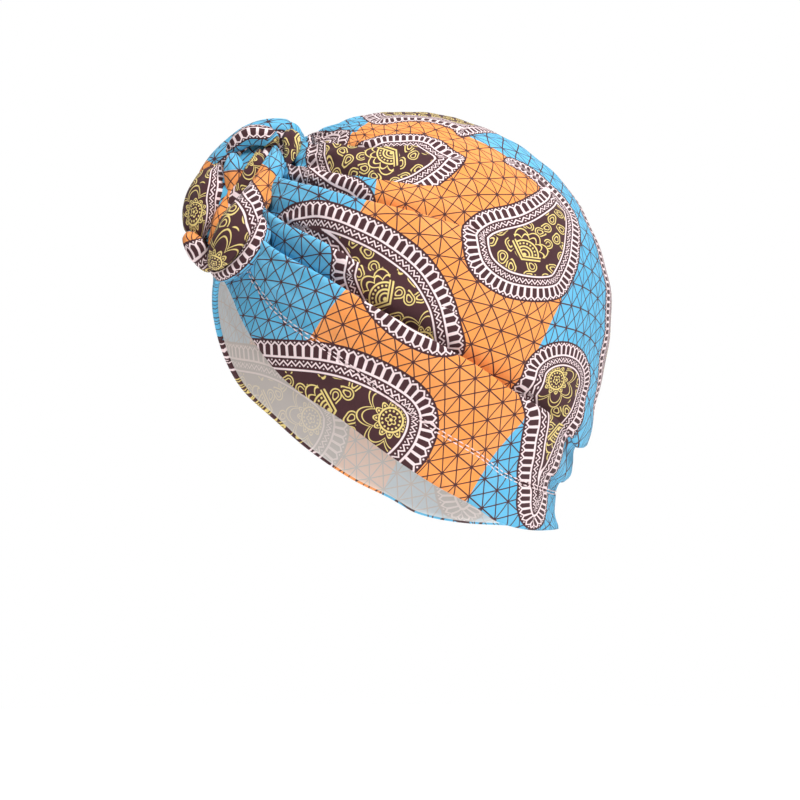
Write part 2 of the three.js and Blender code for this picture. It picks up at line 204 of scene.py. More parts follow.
def photoWay(x, y):  # direction on the form that a pixel of the photograph shows
    right, up, back = cameraAxes()
    middle, focal = photo["size"] / 2, photo["distance"] / photo["mmPerPixel"]
    ray = unit(right * (x - middle) / focal - up * (y - middle) / focal - back)
    reach = np.linspace(photo["distance"] - photo["searchBefore"], photo["distance"] + photo["searchBeyond"],
                        photo["searchSteps"])
    path = cameraPlace + ray * reach[:, None]
    way = wayOf(path)
    outside = np.linalg.norm(path[:, :2], axis=1) - np.linalg.norm(formPoint(way)[:, :2], axis=1)
    outside = np.where(path[:, 2] > form["rise"], 1, outside)
    inside = np.nonzero(outside < 0)[0]
    return way[inside[0] if len(inside) else np.argmin(outside)]


clothRadius = 93
middleWay = unit(cameraAxes()[2] * np.array([form["width"] / 2, form["front"], form["rise"]]))


def flatPlace(way, middle):  # millimetres on flat cloth touching the form at middle
    across = unit(np.cross([0, 0, 1], middle))
    flat = np.stack([way @ across, way @ np.cross(middle, across)], -1)
    reach = np.linalg.norm(flat, axis=-1)
    angle = np.arctan2(reach, way @ middle)
    return flat * (clothRadius * angle / np.maximum(reach, 1e-9))[..., None]


def onForm(turn, lift):
    return {"turn": turn, "lift": lift}


def spotPlace(spot):  # a spot is a pixel (x, y) of the photograph, or degrees on the form
    if isinstance(spot, dict):
        return flatPlace(direction(spot["turn"], spot["lift"]), middleWay)
    return flatPlace(photoWay(*spot), middleWay)


# The print: paisleys by their outlines, and the ground's blue and orange fields. Each lies on the layers of the
# crown between two tucks. The rosette is the middle of its gold drawing, which runs on towards the tail.

sideLook = {"border": 0.84, "spacing": 0.95, "rosette": (425, 343), "tail": (389, 301)}
sideCurve = [(342, 208), (364, 216), (395, 231), (430, 258), (453, 294), (463, 328), (467, 350), (457, 368),
             (430, 376), (400, 364), (370, 345), (346, 322), (333, 296), (329, 276)]
paisleys = {
    "brow": {"layers": (0, 0), "border": 0.92, "spacing": 1.04, "rosette": (391, 420), "tail": (329, 408),
             "outline": [
        (243, 338), (276, 339), (316, 341), (348, 347), (376, 357), (403, 371), (426, 389), (438, 412), (437, 438),
        (424, 464), (398, 487), (370, 492), (335, 476), (300, 446), (266, 408), onForm(24, -30), onForm(14, -22),
        onForm(12, -10)]},
    "sideTop": {"layers": (2, 2), **sideLook, "outline": [
        (268, 226), (276, 215), (290, 208), (304, 205), (322, 204), *sideCurve, (318, 260), (298, 250), (278, 242)]},
    "side": {"layers": (1, 1), **sideLook, "outline": [
        (282, 212), (298, 206), (320, 204), *sideCurve, (333, 254), (324, 232), (302, 220)]},
    "sideLow": {"layers": (0, 0), **sideLook, "outline": [
        (350, 250), (372, 240), (395, 240), (430, 262), (453, 294), (463, 328), (467, 348), (452, 356), (434, 357),
        (413, 350), (390, 336), (371, 317), (360, 296), (352, 272)]},
    "knotSide": {"layers": (3, 3), "border": 0.84, "rosette": (330, 230), "tail": (310, 200), "outline": [
        (293, 160), (291, 183), (300, 212), (336, 226), (368, 218), (376, 203), (371, 190), (359, 180), (338, 172),
        (314, 158)]},
    "upper": {"layers": (4, 4), "border": 0.84, "rosette": (434, 138), "tail": (381, 157), "outline": [
        (311, 146), (320, 133), (345, 126), (372, 123), (400, 124), (420, 130), (437, 138), (451, 147), (466, 158),
        (458, 170), (443, 183), (420, 196), (390, 206), (350, 206), (318, 196), (305, 172)]},
    "upperTop": {"layers": (5, 5), "border": 0.84, "rosette": (434, 138), "tail": (381, 157), "outline": [
        (348, 150), (360, 142), (382, 135), (405, 133), (424, 134), (439, 139), (451, 147), (466, 158), (456, 172),
        (430, 184), (395, 186), (362, 172)]},
    "back": {"layers": (0, 5), "border": 0.84, "rosette": (492, 294), "tail": (529, 252), "outline": [
        (504, 162), (520, 171), (532, 179), (540, 187), (530, 195), (513, 203), (488, 208), (473, 215), (461, 228),
        (461, 246), (466, 266), (479, 282), (499, 295), (521, 301), (546, 302), (564, 296), (574, 279), (580, 256),
        (580, 230), (577, 215), (568, 201), (556, 187), (540, 172), (522, 161), (508, 156)]},
    "nape": {"layers": (0, 5), "border": 0.85, "rosette": (556, 380), "tail": (555, 438), "outline": [
        (514, 393), (521, 378), (526, 362), (538, 349), (553, 342), (569, 342), (583, 350), (590, 364), (591, 382),
        (587, 400), (580, 420), (571, 442), (562, 470), (556, 500), (548, 520), (534, 530), (521, 523), (516, 506),
        (517, 476), (519, 445), (520, 418)]},
    "crestFront": {"layers": (5, 5), "border": 0.8, "rosette": (320, 165), "tail": (300, 160), "outline": [
        (299, 141), (312, 135), (328, 131), (341, 129), (351, 131), (348, 141), (337, 153), (318, 160), (303, 152)]},
    "crest": {"layers": (4, 5), "border": 0.84, "rosette": onForm(0, 84), "tail": onForm(180, 80), "outline": [
        (364, 119), (373, 124), (386, 124), (402, 122), (420, 122), (437, 125), (452, 130), (464, 136),
        onForm(150, 62), onForm(168, 61), onForm(180, 60.6), onForm(192, 61), onForm(235, 68), onForm(290, 76),
        onForm(335, 77)]},
    "rear": {"layers": (0, 5), "border": 1, "rosette": onForm(180, 20), "tail": onForm(180, -10), "outline": [
        onForm(180, 56), onForm(166, 50), onForm(157, 36), onForm(152, 18), onForm(151, 0), onForm(153, -18),
        onForm(162, -36), onForm(180, -46), onForm(198, -36), onForm(207, -18), onForm(209, 0), onForm(208, 18),
        onForm(203, 36), onForm(194, 50)]},
}
fieldEdges = {  # orange lies to the left of each line, seen from outside the cloth
    "far": {"layers": (0, 5), "line": [(467, 500), (486, 465), (519, 422), (539, 347), (561, 301), (572, 240),
                                       (541, 186), (506, 155), (480, 141), (443, 125), (396, 116), (330, 118)]},
    "brow": {"layers": (0, 0), "line": [(352, 285), (311, 336), (290, 370)]},
    "side": {"layers": (1, 2), "line": [(376, 190), (342, 250), (320, 300)]},
    "upper": {"layers": (3, 3), "line": [(380, 165), (372, 215)]},
    "crest": {"layers": (4, 5), "line": [(300, 130), (312, 180)]},
}
# The ground is a net of squares; it turns at each tuck, which hides some of it
lattice = {"cell": 6.7, "middleTurn": 115, "middleLift": 25, "turn": 3, "growth": 0.0012, "hidden": 2.3,
           "crossing": 0.045, "lineSoft": 0.012, "dotSoft": 0.03}
netMiddle = direction(lattice["middleTurn"], lattice["middleLift"])
picketWidth = 4.6
unprinted = {"edge": -50.0, "flower": 90.0, "field": 30.0}  # where no paisley or field's edge is near
paisleyReach = 12


def curveBetween(p0, p1, p2, p3, f):  # a smooth curve's places and directions, at shares of the way from p1 to p2
    start, end = (p2 - p0) / 2, (p3 - p1) / 2
    low, high = -3 * p1 + 3 * p2 - 2 * start - end, 2 * p1 - 2 * p2 + start + end
    return p1 + start * f + low * f**2 + high * f**3, start + 2 * low * f + 3 * high * f**2


def smoothLoop(places, step=0.8, parts=40):  # even points on a closed smooth curve through the places
    n = len(places)
    u = np.arange(n * parts) / parts
    i, f = u.astype(int), (u % 1)[:, None]
    curve = curveBetween(places[i - 1], places[i], places[(i + 1) % n], places[(i + 2) % n], f)[0]
    along = np.concatenate([[0], np.cumsum(np.linalg.norm(np.roll(curve, -1, 0) - curve, axis=1))])
    at = np.linspace(0, along[-1], int(along[-1] / step) + 1)[:-1]
    curve = np.concatenate([curve, curve[:1]])
    return np.stack([np.interp(at, along, curve[:, k]) for k in range(2)], 1)


def lineSpans(line, closed):
    ends = np.roll(line, -1, 0) if closed else line[1:]
    starts = line if closed else line[:-1]
    size = np.linalg.norm(ends - starts, axis=1)
    return starts, ends - starts, size, np.concatenate([[0], np.cumsum(size)[:-1]])


def nearestOnLine(points, line, closed):
    # Distance to a line, place along it, which side of it, and whether a closed one goes round the point
    gap, place = np.full(len(points), 1e9), np.zeros(len(points))
    side, inside = np.ones(len(points)), np.zeros(len(points), bool)
    for start, span, size, first in zip(*lineSpans(line, closed)):
        if size < 1e-6:
            continue
        f = np.clip((points - start) @ span / size**2, 0, 1)
        away = points - start - f[:, None] * span
        far = np.linalg.norm(away, axis=1)
        closer = far < gap
        gap[closer] = far[closer]
        place[closer] = (first + f * size)[closer]
        side[closer] = np.sign(span[0] * away[:, 1] - span[1] * away[:, 0])[closer]
        crosses = (start[1] > points[:, 1]) != (start[1] + span[1] > points[:, 1])
        if crosses.any():
            level = start[0] + span[0] * (points[crosses, 1] - start[1]) / span[1]
            inside[crosses] ^= points[crosses, 0] < level
    return gap, place, side, inside


def preparePrint():
    shapes = []
    for row in paisleys.values():
        loop = smoothLoop(np.array([spotPlace(spot) for spot in row["outline"]]))
        middle = spotPlace(row["rosette"])
        axis = unit(spotPlace(row["tail"]) - middle)
        shapes.append((row, loop, middle, axis))
    fields = [(row, np.array([spotPlace(spot) for spot in row["line"]])) for row in fieldEdges.values()]
    return {"shapes": shapes, "fields": fields}


def printAt(ready, place, layer):
    # For points of the cloth: distance inside a paisley's outline, pickets along it and in all, its own axes
    # from the rosette to the tail, and the distance into the orange field
    edge, flower = np.full(len(place), unprinted["edge"]), np.full((len(place), 2), unprinted["flower"])
    along, count = np.zeros(len(place)), np.ones(len(place))
    for row, loop, middle, axis in ready["shapes"]:
        low, high = row["layers"]
        centre = loop.mean(0)
        reach = np.linalg.norm(loop - centre, axis=1).max() + paisleyReach
        near = np.linalg.norm(place - centre, axis=1) < reach
        pick = np.nonzero(near & (layer >= low) & (layer <= high))[0]
        if len(pick) == 0:
            continue
        spots = place[pick]
        gap, arc, _, inside = nearestOnLine(spots, loop, True)
        depth = np.where(inside, gap, -gap) / row["border"]
        better = depth > edge[pick]
        total = lineSpans(loop, True)[2].sum()
        pickets = round(total / (picketWidth * row.get("spacing", row["border"])))
        edge[pick[better]] = depth[better]
        along[pick[better]] = (arc / total * pickets)[better]
        count[pick[better]] = pickets
        offset = spots - middle
        local = np.stack([offset @ axis, offset @ np.array([-axis[1], axis[0]])], 1)
        flower[pick[better]] = local[better] / row["border"]
    orange = np.full(len(place), unprinted["field"])
    for row, line in ready["fields"]:
        low, high = row["layers"]
        pick = np.nonzero((layer >= low) & (layer <= high))[0]
        gap, _, side, _ = nearestOnLine(place[pick], line, False)
        orange[pick] = np.minimum(orange[pick], gap * side)
    return edge, along, count, flower, orange


def latticePlace(way, hidden, slant):
    place = flatPlace(way, netMiddle)
    z = place[:, 0] + 1j * place[:, 1]
    growth = lattice["growth"]
    net = (np.exp(growth * z) - 1) / growth * np.exp(-1j * np.radians(lattice["turn"] + slant))
    return np.stack([net.real, net.imag + hidden], 1) / lattice["cell"]


def addLayer(mesh, name, values):
    layer = mesh.uv_layers.new(name=name, do_init=False)
    layer.data.foreach_set("uv", np.ascontiguousarray(values, np.float32).ravel())


def addMask(mesh, name, values):
    layer = mesh.attributes.new(name, "FLOAT", "CORNER")
    layer.data.foreach_set("value", np.ascontiguousarray(values, np.float32))


def makeMesh(name, points, faces):
    mesh = bpy.data.meshes.new(name)
    mesh.from_pydata((np.asarray(points) + formCentre) * mm, [], [tuple(int(i) for i in f) for f in faces])
    mesh.update()
    mesh.shade_smooth()
    piece = bpy.data.objects.new(name, mesh)
    bpy.context.scene.collection.objects.link(piece)
    return piece


# Shader helpers

def feed(tree, socket, value):  # a number, a colour, or another node's output
    if isinstance(value, tuple):
        socket.default_value = (*value, 1)
    elif isinstance(value, (int, float)):
        socket.default_value = value
    else:
        tree.links.new(value, socket)


def calc(tree, operation, *values):
    node = tree.nodes.new("ShaderNodeMath")
    node.operation = operation
    for socket, value in zip(node.inputs, values):
        feed(tree, socket, value)
    return node.outputs[0]


def plus(tree, a, b):
    return calc(tree, "ADD", a, b)


def minus(tree, a, b):
    return calc(tree, "SUBTRACT", a, b)


def times(tree, a, b):
    return calc(tree, "MULTIPLY", a, b)


def within(tree, distance, half, soft):  # 1 where the distance is under half, with a soft edge
    node = tree.nodes.new("ShaderNodeMapRange")
    node.interpolation_type = "SMOOTHSTEP"
    for socket, value in zip(node.inputs, (distance, half - soft, half + soft, 1, 0)):
        feed(tree, socket, value)
    return node.outputs[0]


def beyond(tree, distance, half, soft):  # 1 where the distance is over half
    return minus(tree, 1, within(tree, distance, half, soft))


def split(tree, vector):
    node = tree.nodes.new("ShaderNodeSeparateXYZ")
    tree.links.new(vector, node.inputs[0])
    return node.outputs[0], node.outputs[1]


def blendColor(tree, mask, below, above, mode="MIX"):
    node = tree.nodes.new("ShaderNodeMix")
    node.data_type = "RGBA"
    node.blend_type = mode
    for place, value in ((0, mask), (6, below), (7, above)):
        feed(tree, node.inputs[place], value)
    return node.outputs[2]


def newGroup(name, inputs, outputs):
    tree = bpy.data.node_groups.new(name, "ShaderNodeTree")
    for label, kind in inputs.items():
        tree.interface.new_socket(label, in_out="INPUT", socket_type="NodeSocket" + kind)
    for label in outputs:
        tree.interface.new_socket(label, in_out="OUTPUT", socket_type="NodeSocketFloat")
    return tree, tree.nodes.new("NodeGroupInput"), tree.nodes.new("NodeGroupOutput")


def placeGroup(tree, group, **values):
    node = tree.nodes.new("ShaderNodeGroup")
    node.node_tree = group
    for label, value in values.items():
        feed(tree, node.inputs[label], value)
    return node


def offWhole(tree, value):  # distance to the nearest whole number
    return calc(tree, "ABSOLUTE", minus(tree, value, calc(tree, "ROUND", value)))


def reachOf(tree, x, y):  # length of the vector (x, y)
    return calc(tree, "SQRT", plus(tree, times(tree, x, x), times(tree, y, y)))


def lineAt(tree, value, place, half, soft=0.13):  # 1 along the line where value equals place
    return within(tree, calc(tree, "ABSOLUTE", minus(tree, value, place)), half, soft)


def brightest(tree, *masks):
    total = masks[0]
    for mask in masks[1:]:
        total = calc(tree, "MAXIMUM", total, mask)
    return total


def makeLattice():
    # Squares with a slanted line through every second corner, and dots at the corners
    tree, start, end = newGroup("printLattice", {"Net": "Vector", "Line": "Float", "Dot": "Float"}, ["Ink", "Tone"])
    i, j = split(tree, start.outputs["Net"])
    a = times(tree, plus(tree, i, j), 0.5)
    b = times(tree, minus(tree, i, j), 0.5)
    offI, offJ, offA, offB = (offWhole(tree, value) for value in (i, j, a, b))
    straight = calc(tree, "MINIMUM", offI, offJ)
    slanted = times(tree, calc(tree, "MINIMUM", offA, offB), math.sqrt(2))
    line = calc(tree, "MINIMUM", straight, slanted)
    corner = times(tree, reachOf(tree, offA, offB), math.sqrt(2))
    crossing = plus(tree, reachOf(tree, offI, offJ), lattice["crossing"])
    ink = within(tree, minus(tree, line, start.outputs["Line"]), 0, lattice["lineSoft"])
    for dot in (corner, crossing):
        spot = within(tree, minus(tree, dot, start.outputs["Dot"]), 0, lattice["dotSoft"])
        ink = calc(tree, "MAXIMUM", ink, spot)
    tree.links.new(ink, end.inputs["Ink"])
    noise = tree.nodes.new("ShaderNodeTexWhiteNoise")
    noise.noise_dimensions = "2D"
    combine = tree.nodes.new("ShaderNodeCombineXYZ")
    tree.links.new(calc(tree, "FLOOR", a), combine.inputs[0])
    tree.links.new(calc(tree, "FLOOR", b), combine.inputs[1])
    tree.links.new(combine.outputs[0], noise.inputs["Vector"])
    tree.links.new(noise.outputs["Value"], end.inputs["Tone"])
    return tree


paisleyBorder = {  # millimetres inward from the outline, and half widths of what is drawn
    "outerDots": 1.5, "outerDot": 0.45, "picketHalf": 1.95, "picketLine": 0.42, "tipSlope": 0.76, "tipLean": 0.65,
    "picketFoot": 8.9, "rail": 9.1, "railHalf": 0.48, "upperDots": 10.8, "zigzag": 11, "lineHalf": 0.5,
    "lowerDots": 13.4, "dot": 0.42, "dotSoft": 0.14, "edgeLine": 15.4, "inside": 16.4,
}


def makeBorder():
    # From the outline inwards: dots, pointed pickets, a line, a zigzag between dots, and a line.
    # Band holds the place along the outline in pickets and the distance inside it in millimetres.
    tree, start, end = newGroup("paisleyBorder", {"Band": "Vector"}, ["White", "Body", "Inside"])
    sizes = paisleyBorder
    u, e = split(tree, start.outputs["Band"])
    q = times(tree, offWhole(tree, u), picketWidth)  # from the middle of a picket
    gapQ = minus(tree, picketWidth / 2, q)  # from the middle between two
    side = minus(tree, sizes["picketHalf"], q)
    tip = minus(tree, times(tree, minus(tree, e, sizes["outerDots"]), sizes["tipSlope"]),
                times(tree, q, sizes["tipLean"]))
    picket = calc(tree, "MINIMUM", calc(tree, "MINIMUM", side, tip), minus(tree, sizes["picketFoot"], e))
    white = brightest(tree, lineAt(tree, picket, 0, sizes["picketLine"]),
                      lineAt(tree, e, sizes["rail"], sizes["railHalf"]),
                      lineAt(tree, minus(tree, e, q), sizes["zigzag"], sizes["lineHalf"]),
                      dotRow(tree, gapQ, e, sizes["outerDots"], sizes["outerDot"]),
                      dotRow(tree, q, e, sizes["lowerDots"], sizes["dot"]),
                      dotRow(tree, gapQ, e, sizes["upperDots"], sizes["dot"]),
                      lineAt(tree, e, sizes["edgeLine"], sizes["lineHalf"]))
    body = beyond(tree, e, 0, 0.12)
    tree.links.new(times(tree, white, body), end.inputs["White"])
    tree.links.new(body, end.inputs["Body"])
    tree.links.new(beyond(tree, e, sizes["inside"], 0.15), end.inputs["Inside"])
    return tree


def dotRow(tree, across, inward, place, half):
    return within(tree, reachOf(tree, across, minus(tree, inward, place)), half, paisleyBorder["dotSoft"])


def polarMotif(tree, x, y, middleX, middleY, turn):
    # Distance and angle about a motif's middle, its own up at `turn` degrees
    dx, dy = minus(tree, x, middleX), minus(tree, y, middleY)
    c, t = math.cos(math.radians(turn)), math.sin(math.radians(turn))
    up = plus(tree, times(tree, dx, c), times(tree, dy, t))
    across = minus(tree, times(tree, dy, c), times(tree, dx, t))
    return reachOf(tree, dx, dy), calc(tree, "ARCTAN2", across, up)


def scallop(tree, reach, angle, radius, depth, count, half):
    bump = calc(tree, "ABSOLUTE", calc(tree, "COSINE", times(tree, angle, count / 2)))
    return lineAt(tree, minus(tree, reach, times(tree, bump, depth)), radius, half)


def beadRing(tree, reach, angle, radius, count, size):
    off = times(tree, offWhole(tree, times(tree, angle, count / 2 / math.pi)), 2 * math.pi * radius / count)
    return within(tree, reachOf(tree, off, minus(tree, reach, radius)), size, 0.14)


rosetteRings = [  # outward from the middle: spot (radius), ring (radius, half), beads (radius, count, size)
    ("spot", 0.8), ("scallop", 1.5, 1.2, 5, 0.34), ("beads", 4.5, 14, 0.55),  # scallop (radius, depth, count, half)
    ("ring", 6, 0.46), ("scallop", 6.3, 2.6, 12, 0.42), ("beads", 7.4, 12, 0.55), ("scallop", 11, 6.4, 7, 0.4),
    ("scallop", 9.4, 5.2, 7, 0.32),
]
archRings = [
    ("spot", 0.8), ("ring", 2.2, 0.3), ("ring", 3.6, 0.34), ("beads", 5, 20, 0.42), ("ring", 6.3, 0.34),
    ("scallop", 7.2, 2, 13, 0.34), ("scallop", 9.2, 2.4, 9, 0.3),
]
goldWork = {
    "archX": 32, "archY": 1, "archTurn": 8, "archSize": 1.42, "baseTilt": 32, "baseEdge": -0.6, "stepDrop": 2.2,
    "stepApart": 1.3, "stepReach": 7.6, "rosetteReach": 18, "archRoom": 12, "lowBase": -3.4,
    "dropScale": 0.105, "dropUneven": 0.45, "dropPoint": 6, "dropLength": 0.75, "dropOuter": 3, "dropInner": 1.5,
}


def goldRings(tree, reach, angle, rings):
    drawn = []
    for kind, *sizes in rings:
        if kind == "spot":
            drawn.append(within(tree, reach, *sizes, 0.15))
        elif kind == "ring":
            drawn.append(lineAt(tree, reach, *sizes))
        elif kind == "beads":
            drawn.append(beadRing(tree, reach, angle, *sizes))
        else:
            drawn.append(scallop(tree, reach, angle, *sizes))
    return brightest(tree, *drawn)


def makeFiligree():
    # Gold drawing along a paisley: a round rosette in its broad end, an arch with petals, and drops between them
    tree, start, end = newGroup("goldFiligree", {"Flower": "Vector"}, ["Gold"])
    work = goldWork
    x, y = split(tree, start.outputs["Flower"])
    reach, angle = polarMotif(tree, x, y, 0, 0, 0)
    rosette = goldRings(tree, reach, angle, rosetteRings)
    archReach, archAngle = polarMotif(tree, x, y, work["archX"], work["archY"], work["archTurn"])
    archReach = calc(tree, "DIVIDE", archReach, work["archSize"])
    sideways = plus(tree, calc(tree, "ABSOLUTE", archAngle), math.radians(work["baseTilt"]))
    upright = times(tree, archReach, calc(tree, "COSINE", sideways))
    above = beyond(tree, upright, work["baseEdge"], 0.12)
    arch = goldRings(tree, archReach, archAngle, archRings)
    step = plus(tree, upright, work["stepDrop"])
    foot = times(tree, brightest(tree, lineAt(tree, step, 0, 0.36), lineAt(tree, step, work["stepApart"], 0.3)),
                 within(tree, archReach, work["stepReach"], 0.2))
    clear = beyond(tree, reach, work["rosetteReach"], 0.2)
    arch = times(tree, brightest(tree, times(tree, arch, above), foot), clear)
    cells = tree.nodes.new("ShaderNodeTexVoronoi")
    cells.voronoi_dimensions = "2D"
    cells.inputs["Scale"].default_value = work["dropScale"]
    cells.inputs["Randomness"].default_value = work["dropUneven"]
    tree.links.new(start.outputs["Flower"], cells.inputs["Vector"])
    centreX, centreY = split(tree, cells.outputs["Position"])
    pick = split(tree, cells.outputs["Color"])[0]
    dx, dy = minus(tree, x, centreX), minus(tree, y, centreY)
    dropAngle = minus(tree, calc(tree, "ARCTAN2", dy, dx), times(tree, pick, 2 * math.pi))
    lobe = calc(tree, "POWER", calc(tree, "MAXIMUM", calc(tree, "COSINE", dropAngle), 0), work["dropPoint"])
    drop = calc(tree, "DIVIDE", reachOf(tree, dx, dy), plus(tree, 1, times(tree, lobe, work["dropLength"])))
    drops = brightest(tree, lineAt(tree, drop, work["dropOuter"], 0.34), lineAt(tree, drop, work["dropInner"], 0.28))
    roomy = calc(tree, "MINIMUM", minus(tree, reach, work["rosetteReach"] + 0.5),
                 minus(tree, archReach, work["archRoom"]))
    low = times(tree, within(tree, upright, work["lowBase"], 0.2), within(tree, archReach, work["archRoom"], 0.2))
    room = brightest(tree, beyond(tree, roomy, 0, 0.2), low)
    gold = brightest(tree, rosette, arch, times(tree, drops, times(tree, room, clear)))
    tree.links.new(gold, end.inputs["Gold"])
    return tree


knitLoops = {"perMm": 1.6, "course": 0.3, "shadeScale": 0.11, "shadeDetail": 3}


def makeKnit():
    # Fine stretch knit: slanted loops in upright rows, and a slow change of shade
    tree, start, end = newGroup("fineKnit", {"Cloth": "Vector"}, ["Height", "Shade"])
    x, y = split(tree, start.outputs["Cloth"])
    wale = times(tree, offWhole(tree, times(tree, x, knitLoops["perMm"])), 2)
    course = calc(tree, "SINE", times(tree, plus(tree, times(tree, y, knitLoops["perMm"]), wale), 2 * math.pi))
    tree.links.new(plus(tree, times(tree, course, knitLoops["course"]), wale), end.inputs["Height"])
    noise = tree.nodes.new("ShaderNodeTexNoise")
    noise.inputs["Scale"].default_value = knitLoops["shadeScale"]
    noise.inputs["Detail"].default_value = knitLoops["shadeDetail"]
    tree.links.new(start.outputs["Cloth"], noise.inputs["Vector"])
    tree.links.new(noise.outputs["Fac"], end.inputs["Shade"])
    return tree


groups = {"lattice": makeLattice(), "border": makeBorder(), "filigree": makeFiligree(), "knit": makeKnit()}

colours = {  # linear
    "blue": (0.102, 0.43, 0.67), "orange": (0.86, 0.302, 0.075), "ink": (0.07, 0.028, 0.03),
    "brown": (0.062, 0.024, 0.028), "white": (0.84, 0.68, 0.69), "gold": (0.76, 0.6, 0.22),
    "pale": (1, 0.95, 0.8), "reverse": (0.95, 0.91, 0.87),
}
finish = {"roughness": 0.85, "specular": 0.15, "sheen": 0.08, "sheenRoughness": 0.5, "bump": 0.3,
          "bumpDistance": 0.0002, "tone": 0.035, "line": 0.042, "dot": 0.115, "shadeFrom": 0.9, "shadeRange": 0.2,
          "reverseWash": 0.7}


def uvNode(tree, name):
    node = tree.nodes.new("ShaderNodeUVMap")
    node.uv_map = name
    return node.outputs[0]


def maskNode(tree, name):
    node = tree.nodes.new("ShaderNodeAttribute")
    node.attribute_name = name
    return node.outputs["Fac"]


def printedCloth(name, wash=0.0):  # wash fades the print on the cloth's reverse
    material = bpy.data.materials.new(name)
    material.use_nodes = True
    tree = material.node_tree
    shader = tree.nodes["Principled BSDF"]
    net = placeGroup(tree, groups["lattice"], Net=uvNode(tree, "net"), Line=finish["line"], Dot=finish["dot"])
    border = placeGroup(tree, groups["border"], Band=uvNode(tree, "band"))
    filigree = placeGroup(tree, groups["filigree"], Flower=uvNode(tree, "flower"))
    scaled = tree.nodes.new("ShaderNodeVectorMath")
    scaled.operation = "SCALE"
    scaled.inputs["Scale"].default_value = lattice["cell"]
    tree.links.new(uvNode(tree, "net"), scaled.inputs[0])
    knit = placeGroup(tree, groups["knit"], Cloth=scaled.outputs[0])
    isOrange = beyond(tree, maskNode(tree, "orange"), 0, 0.15)
    ground = blendColor(tree, isOrange, colours["blue"], colours["orange"])
    lighter = blendColor(tree, times(tree, net.outputs["Tone"], finish["tone"]), ground, colours["pale"])
    inked = blendColor(tree, net.outputs["Ink"], lighter, colours["ink"])
    body = blendColor(tree, border.outputs["Body"], inked, colours["brown"])
    gold = times(tree, filigree.outputs["Gold"], border.outputs["Inside"])
    gilded = blendColor(tree, gold, body, colours["gold"])
    whitened = blendColor(tree, border.outputs["White"], gilded, colours["white"])
    shade = plus(tree, finish["shadeFrom"], times(tree, knit.outputs["Shade"], finish["shadeRange"]))
    grey = tree.nodes.new("ShaderNodeCombineColor")
    for i in range(3):
        tree.links.new(shade, grey.inputs[i])
    final = blendColor(tree, 1.0, whitened, grey.outputs[0], "MULTIPLY")
    if wash:
        final = blendColor(tree, wash, final, colours["reverse"])
    tree.links.new(final, shader.inputs["Base Color"])
    bump = tree.nodes.new("ShaderNodeBump")
    bump.inputs["Strength"].default_value = finish["bump"]
    bump.inputs["Distance"].default_value = finish["bumpDistance"]
    tree.links.new(knit.outputs["Height"], bump.inputs["Height"])
    tree.links.new(bump.outputs[0], shader.inputs["Normal"])
    for socket, key in (("Roughness", "roughness"), ("Sheen Weight", "sheen"), ("Sheen Roughness", "sheenRoughness"),
                        ("Specular IOR Level", "specular")):
        shader.inputs[socket].default_value = finish[key]
    return material


clothFront = printedCloth("printedKnit")
clothReverse = printedCloth("printedKnitReverse", finish["reverseWash"])

# The crown

crown = {
    "columns": 320, "innerRows": 46, "bandRows": [38, 18, 14, 12, 14, 14, 50], "topShare": 0.985,
    "stitchHeight": 25, "stitchGroove": 0.45, "stitchWidth": 1.1, "pucker": 0.22, "puckerWidth": 3.2, "puckers": 88,
    "hemSwell": 0.35, "turnUp": 0.9, "rim": 0.7, "innerFirst": 0.6, "innerReach": (-4, -2, 2, 4),
    "gather": 1.9, "gatherCount": 17, "gatherReach": 46, "wrinkle": 0.6, "crease": 0.8, "creaseReach": 95,
    "valley": 1.05, "valleyWidth": 6.5, "lipReach": 2.8, "napeOver": 0.9, "foldRuns": 190,
    "flatWidth": 0.56, "flatLength": 0.26, "flatArea": 0.094,
}
lip = {  # across a tuck's folded edge, in millimetres above it: shift and lift as shares of the tuck's depth
    "at": [-2.8, -2, -1.4, -0.9, -0.5, -0.3, -0.1, 0, 0.1, 0.2, 0.3, 0.4, 0.5, 0.62, 0.9, 1.4, 2, 2.8],
    "over": [0, 0, 0.04, 0.1, 0.19, 0.25, 0.34, 0.38, 0.4, 0.34, 0.2, 0.05, -0.04, -0.02, 0.08, 0.1, 0.07, 0.02],
    "lift": [1, 1.02, 1.03, 1.03, 1.01, 0.98, 0.91, 0.82, 0.66, 0.46, 0.26, 0.12, 0.04, 0, 0, 0, 0, 0],
}
lipRows = np.array([-2.2, -1.2, -0.6, -0.25, 0, 0.12, 0.24, 0.36, 0.5, 0.65, 1.1, 2.2])
napeSteps = [{"band": 0.63, "depth": 0.5}, {"band": 1, "depth": 0.72}]


def lipLift(rel):
    below = np.minimum(rel + crown["lipReach"], 0) / cloth["tuckWidth"]
    swell = np.where(rel < -crown["lipReach"], np.exp(-(below**2)), np.interp(rel, lip["at"], lip["lift"]))
    valley = crown["valley"] * ease(rel, 0.1, 0.5) * np.exp(-((np.maximum(rel, 0) / crown["valleyWidth"]) ** 2))
    return swell - valley


def lipOver(rel):
    return np.where(np.abs(rel) <= crown["lipReach"], np.interp(rel, lip["at"], lip["over"]), 0)


def crownHeights(turn, length):
    # Distances up the cloth at which each column has its points
    lines = [tuckShare(tuck, turn) * length for tuck in tucks]
    clusters = [lines[0] * napeSteps[0]["band"]] + lines
    edge = 0 * length
    rows = []
    for i, (line, count) in enumerate(zip(clusters + [length], crown["bandRows"])):
        top = i == len(clusters)
        if i == 0:
            shares = np.arange(count) / count
        elif top:
            shares = (np.arange(count) + 1) / count * crown["topShare"]
        else:
            shares = (np.arange(count) + 1) / (count + 1)
        stop = line if top else line - crown["lipReach"]
        rows += [edge + share * (stop - edge) for share in shares]
        if not top:
            rows += [line + rel for rel in lipRows]
            edge = line + crown["lipReach"]
    return np.stack(rows, 1)


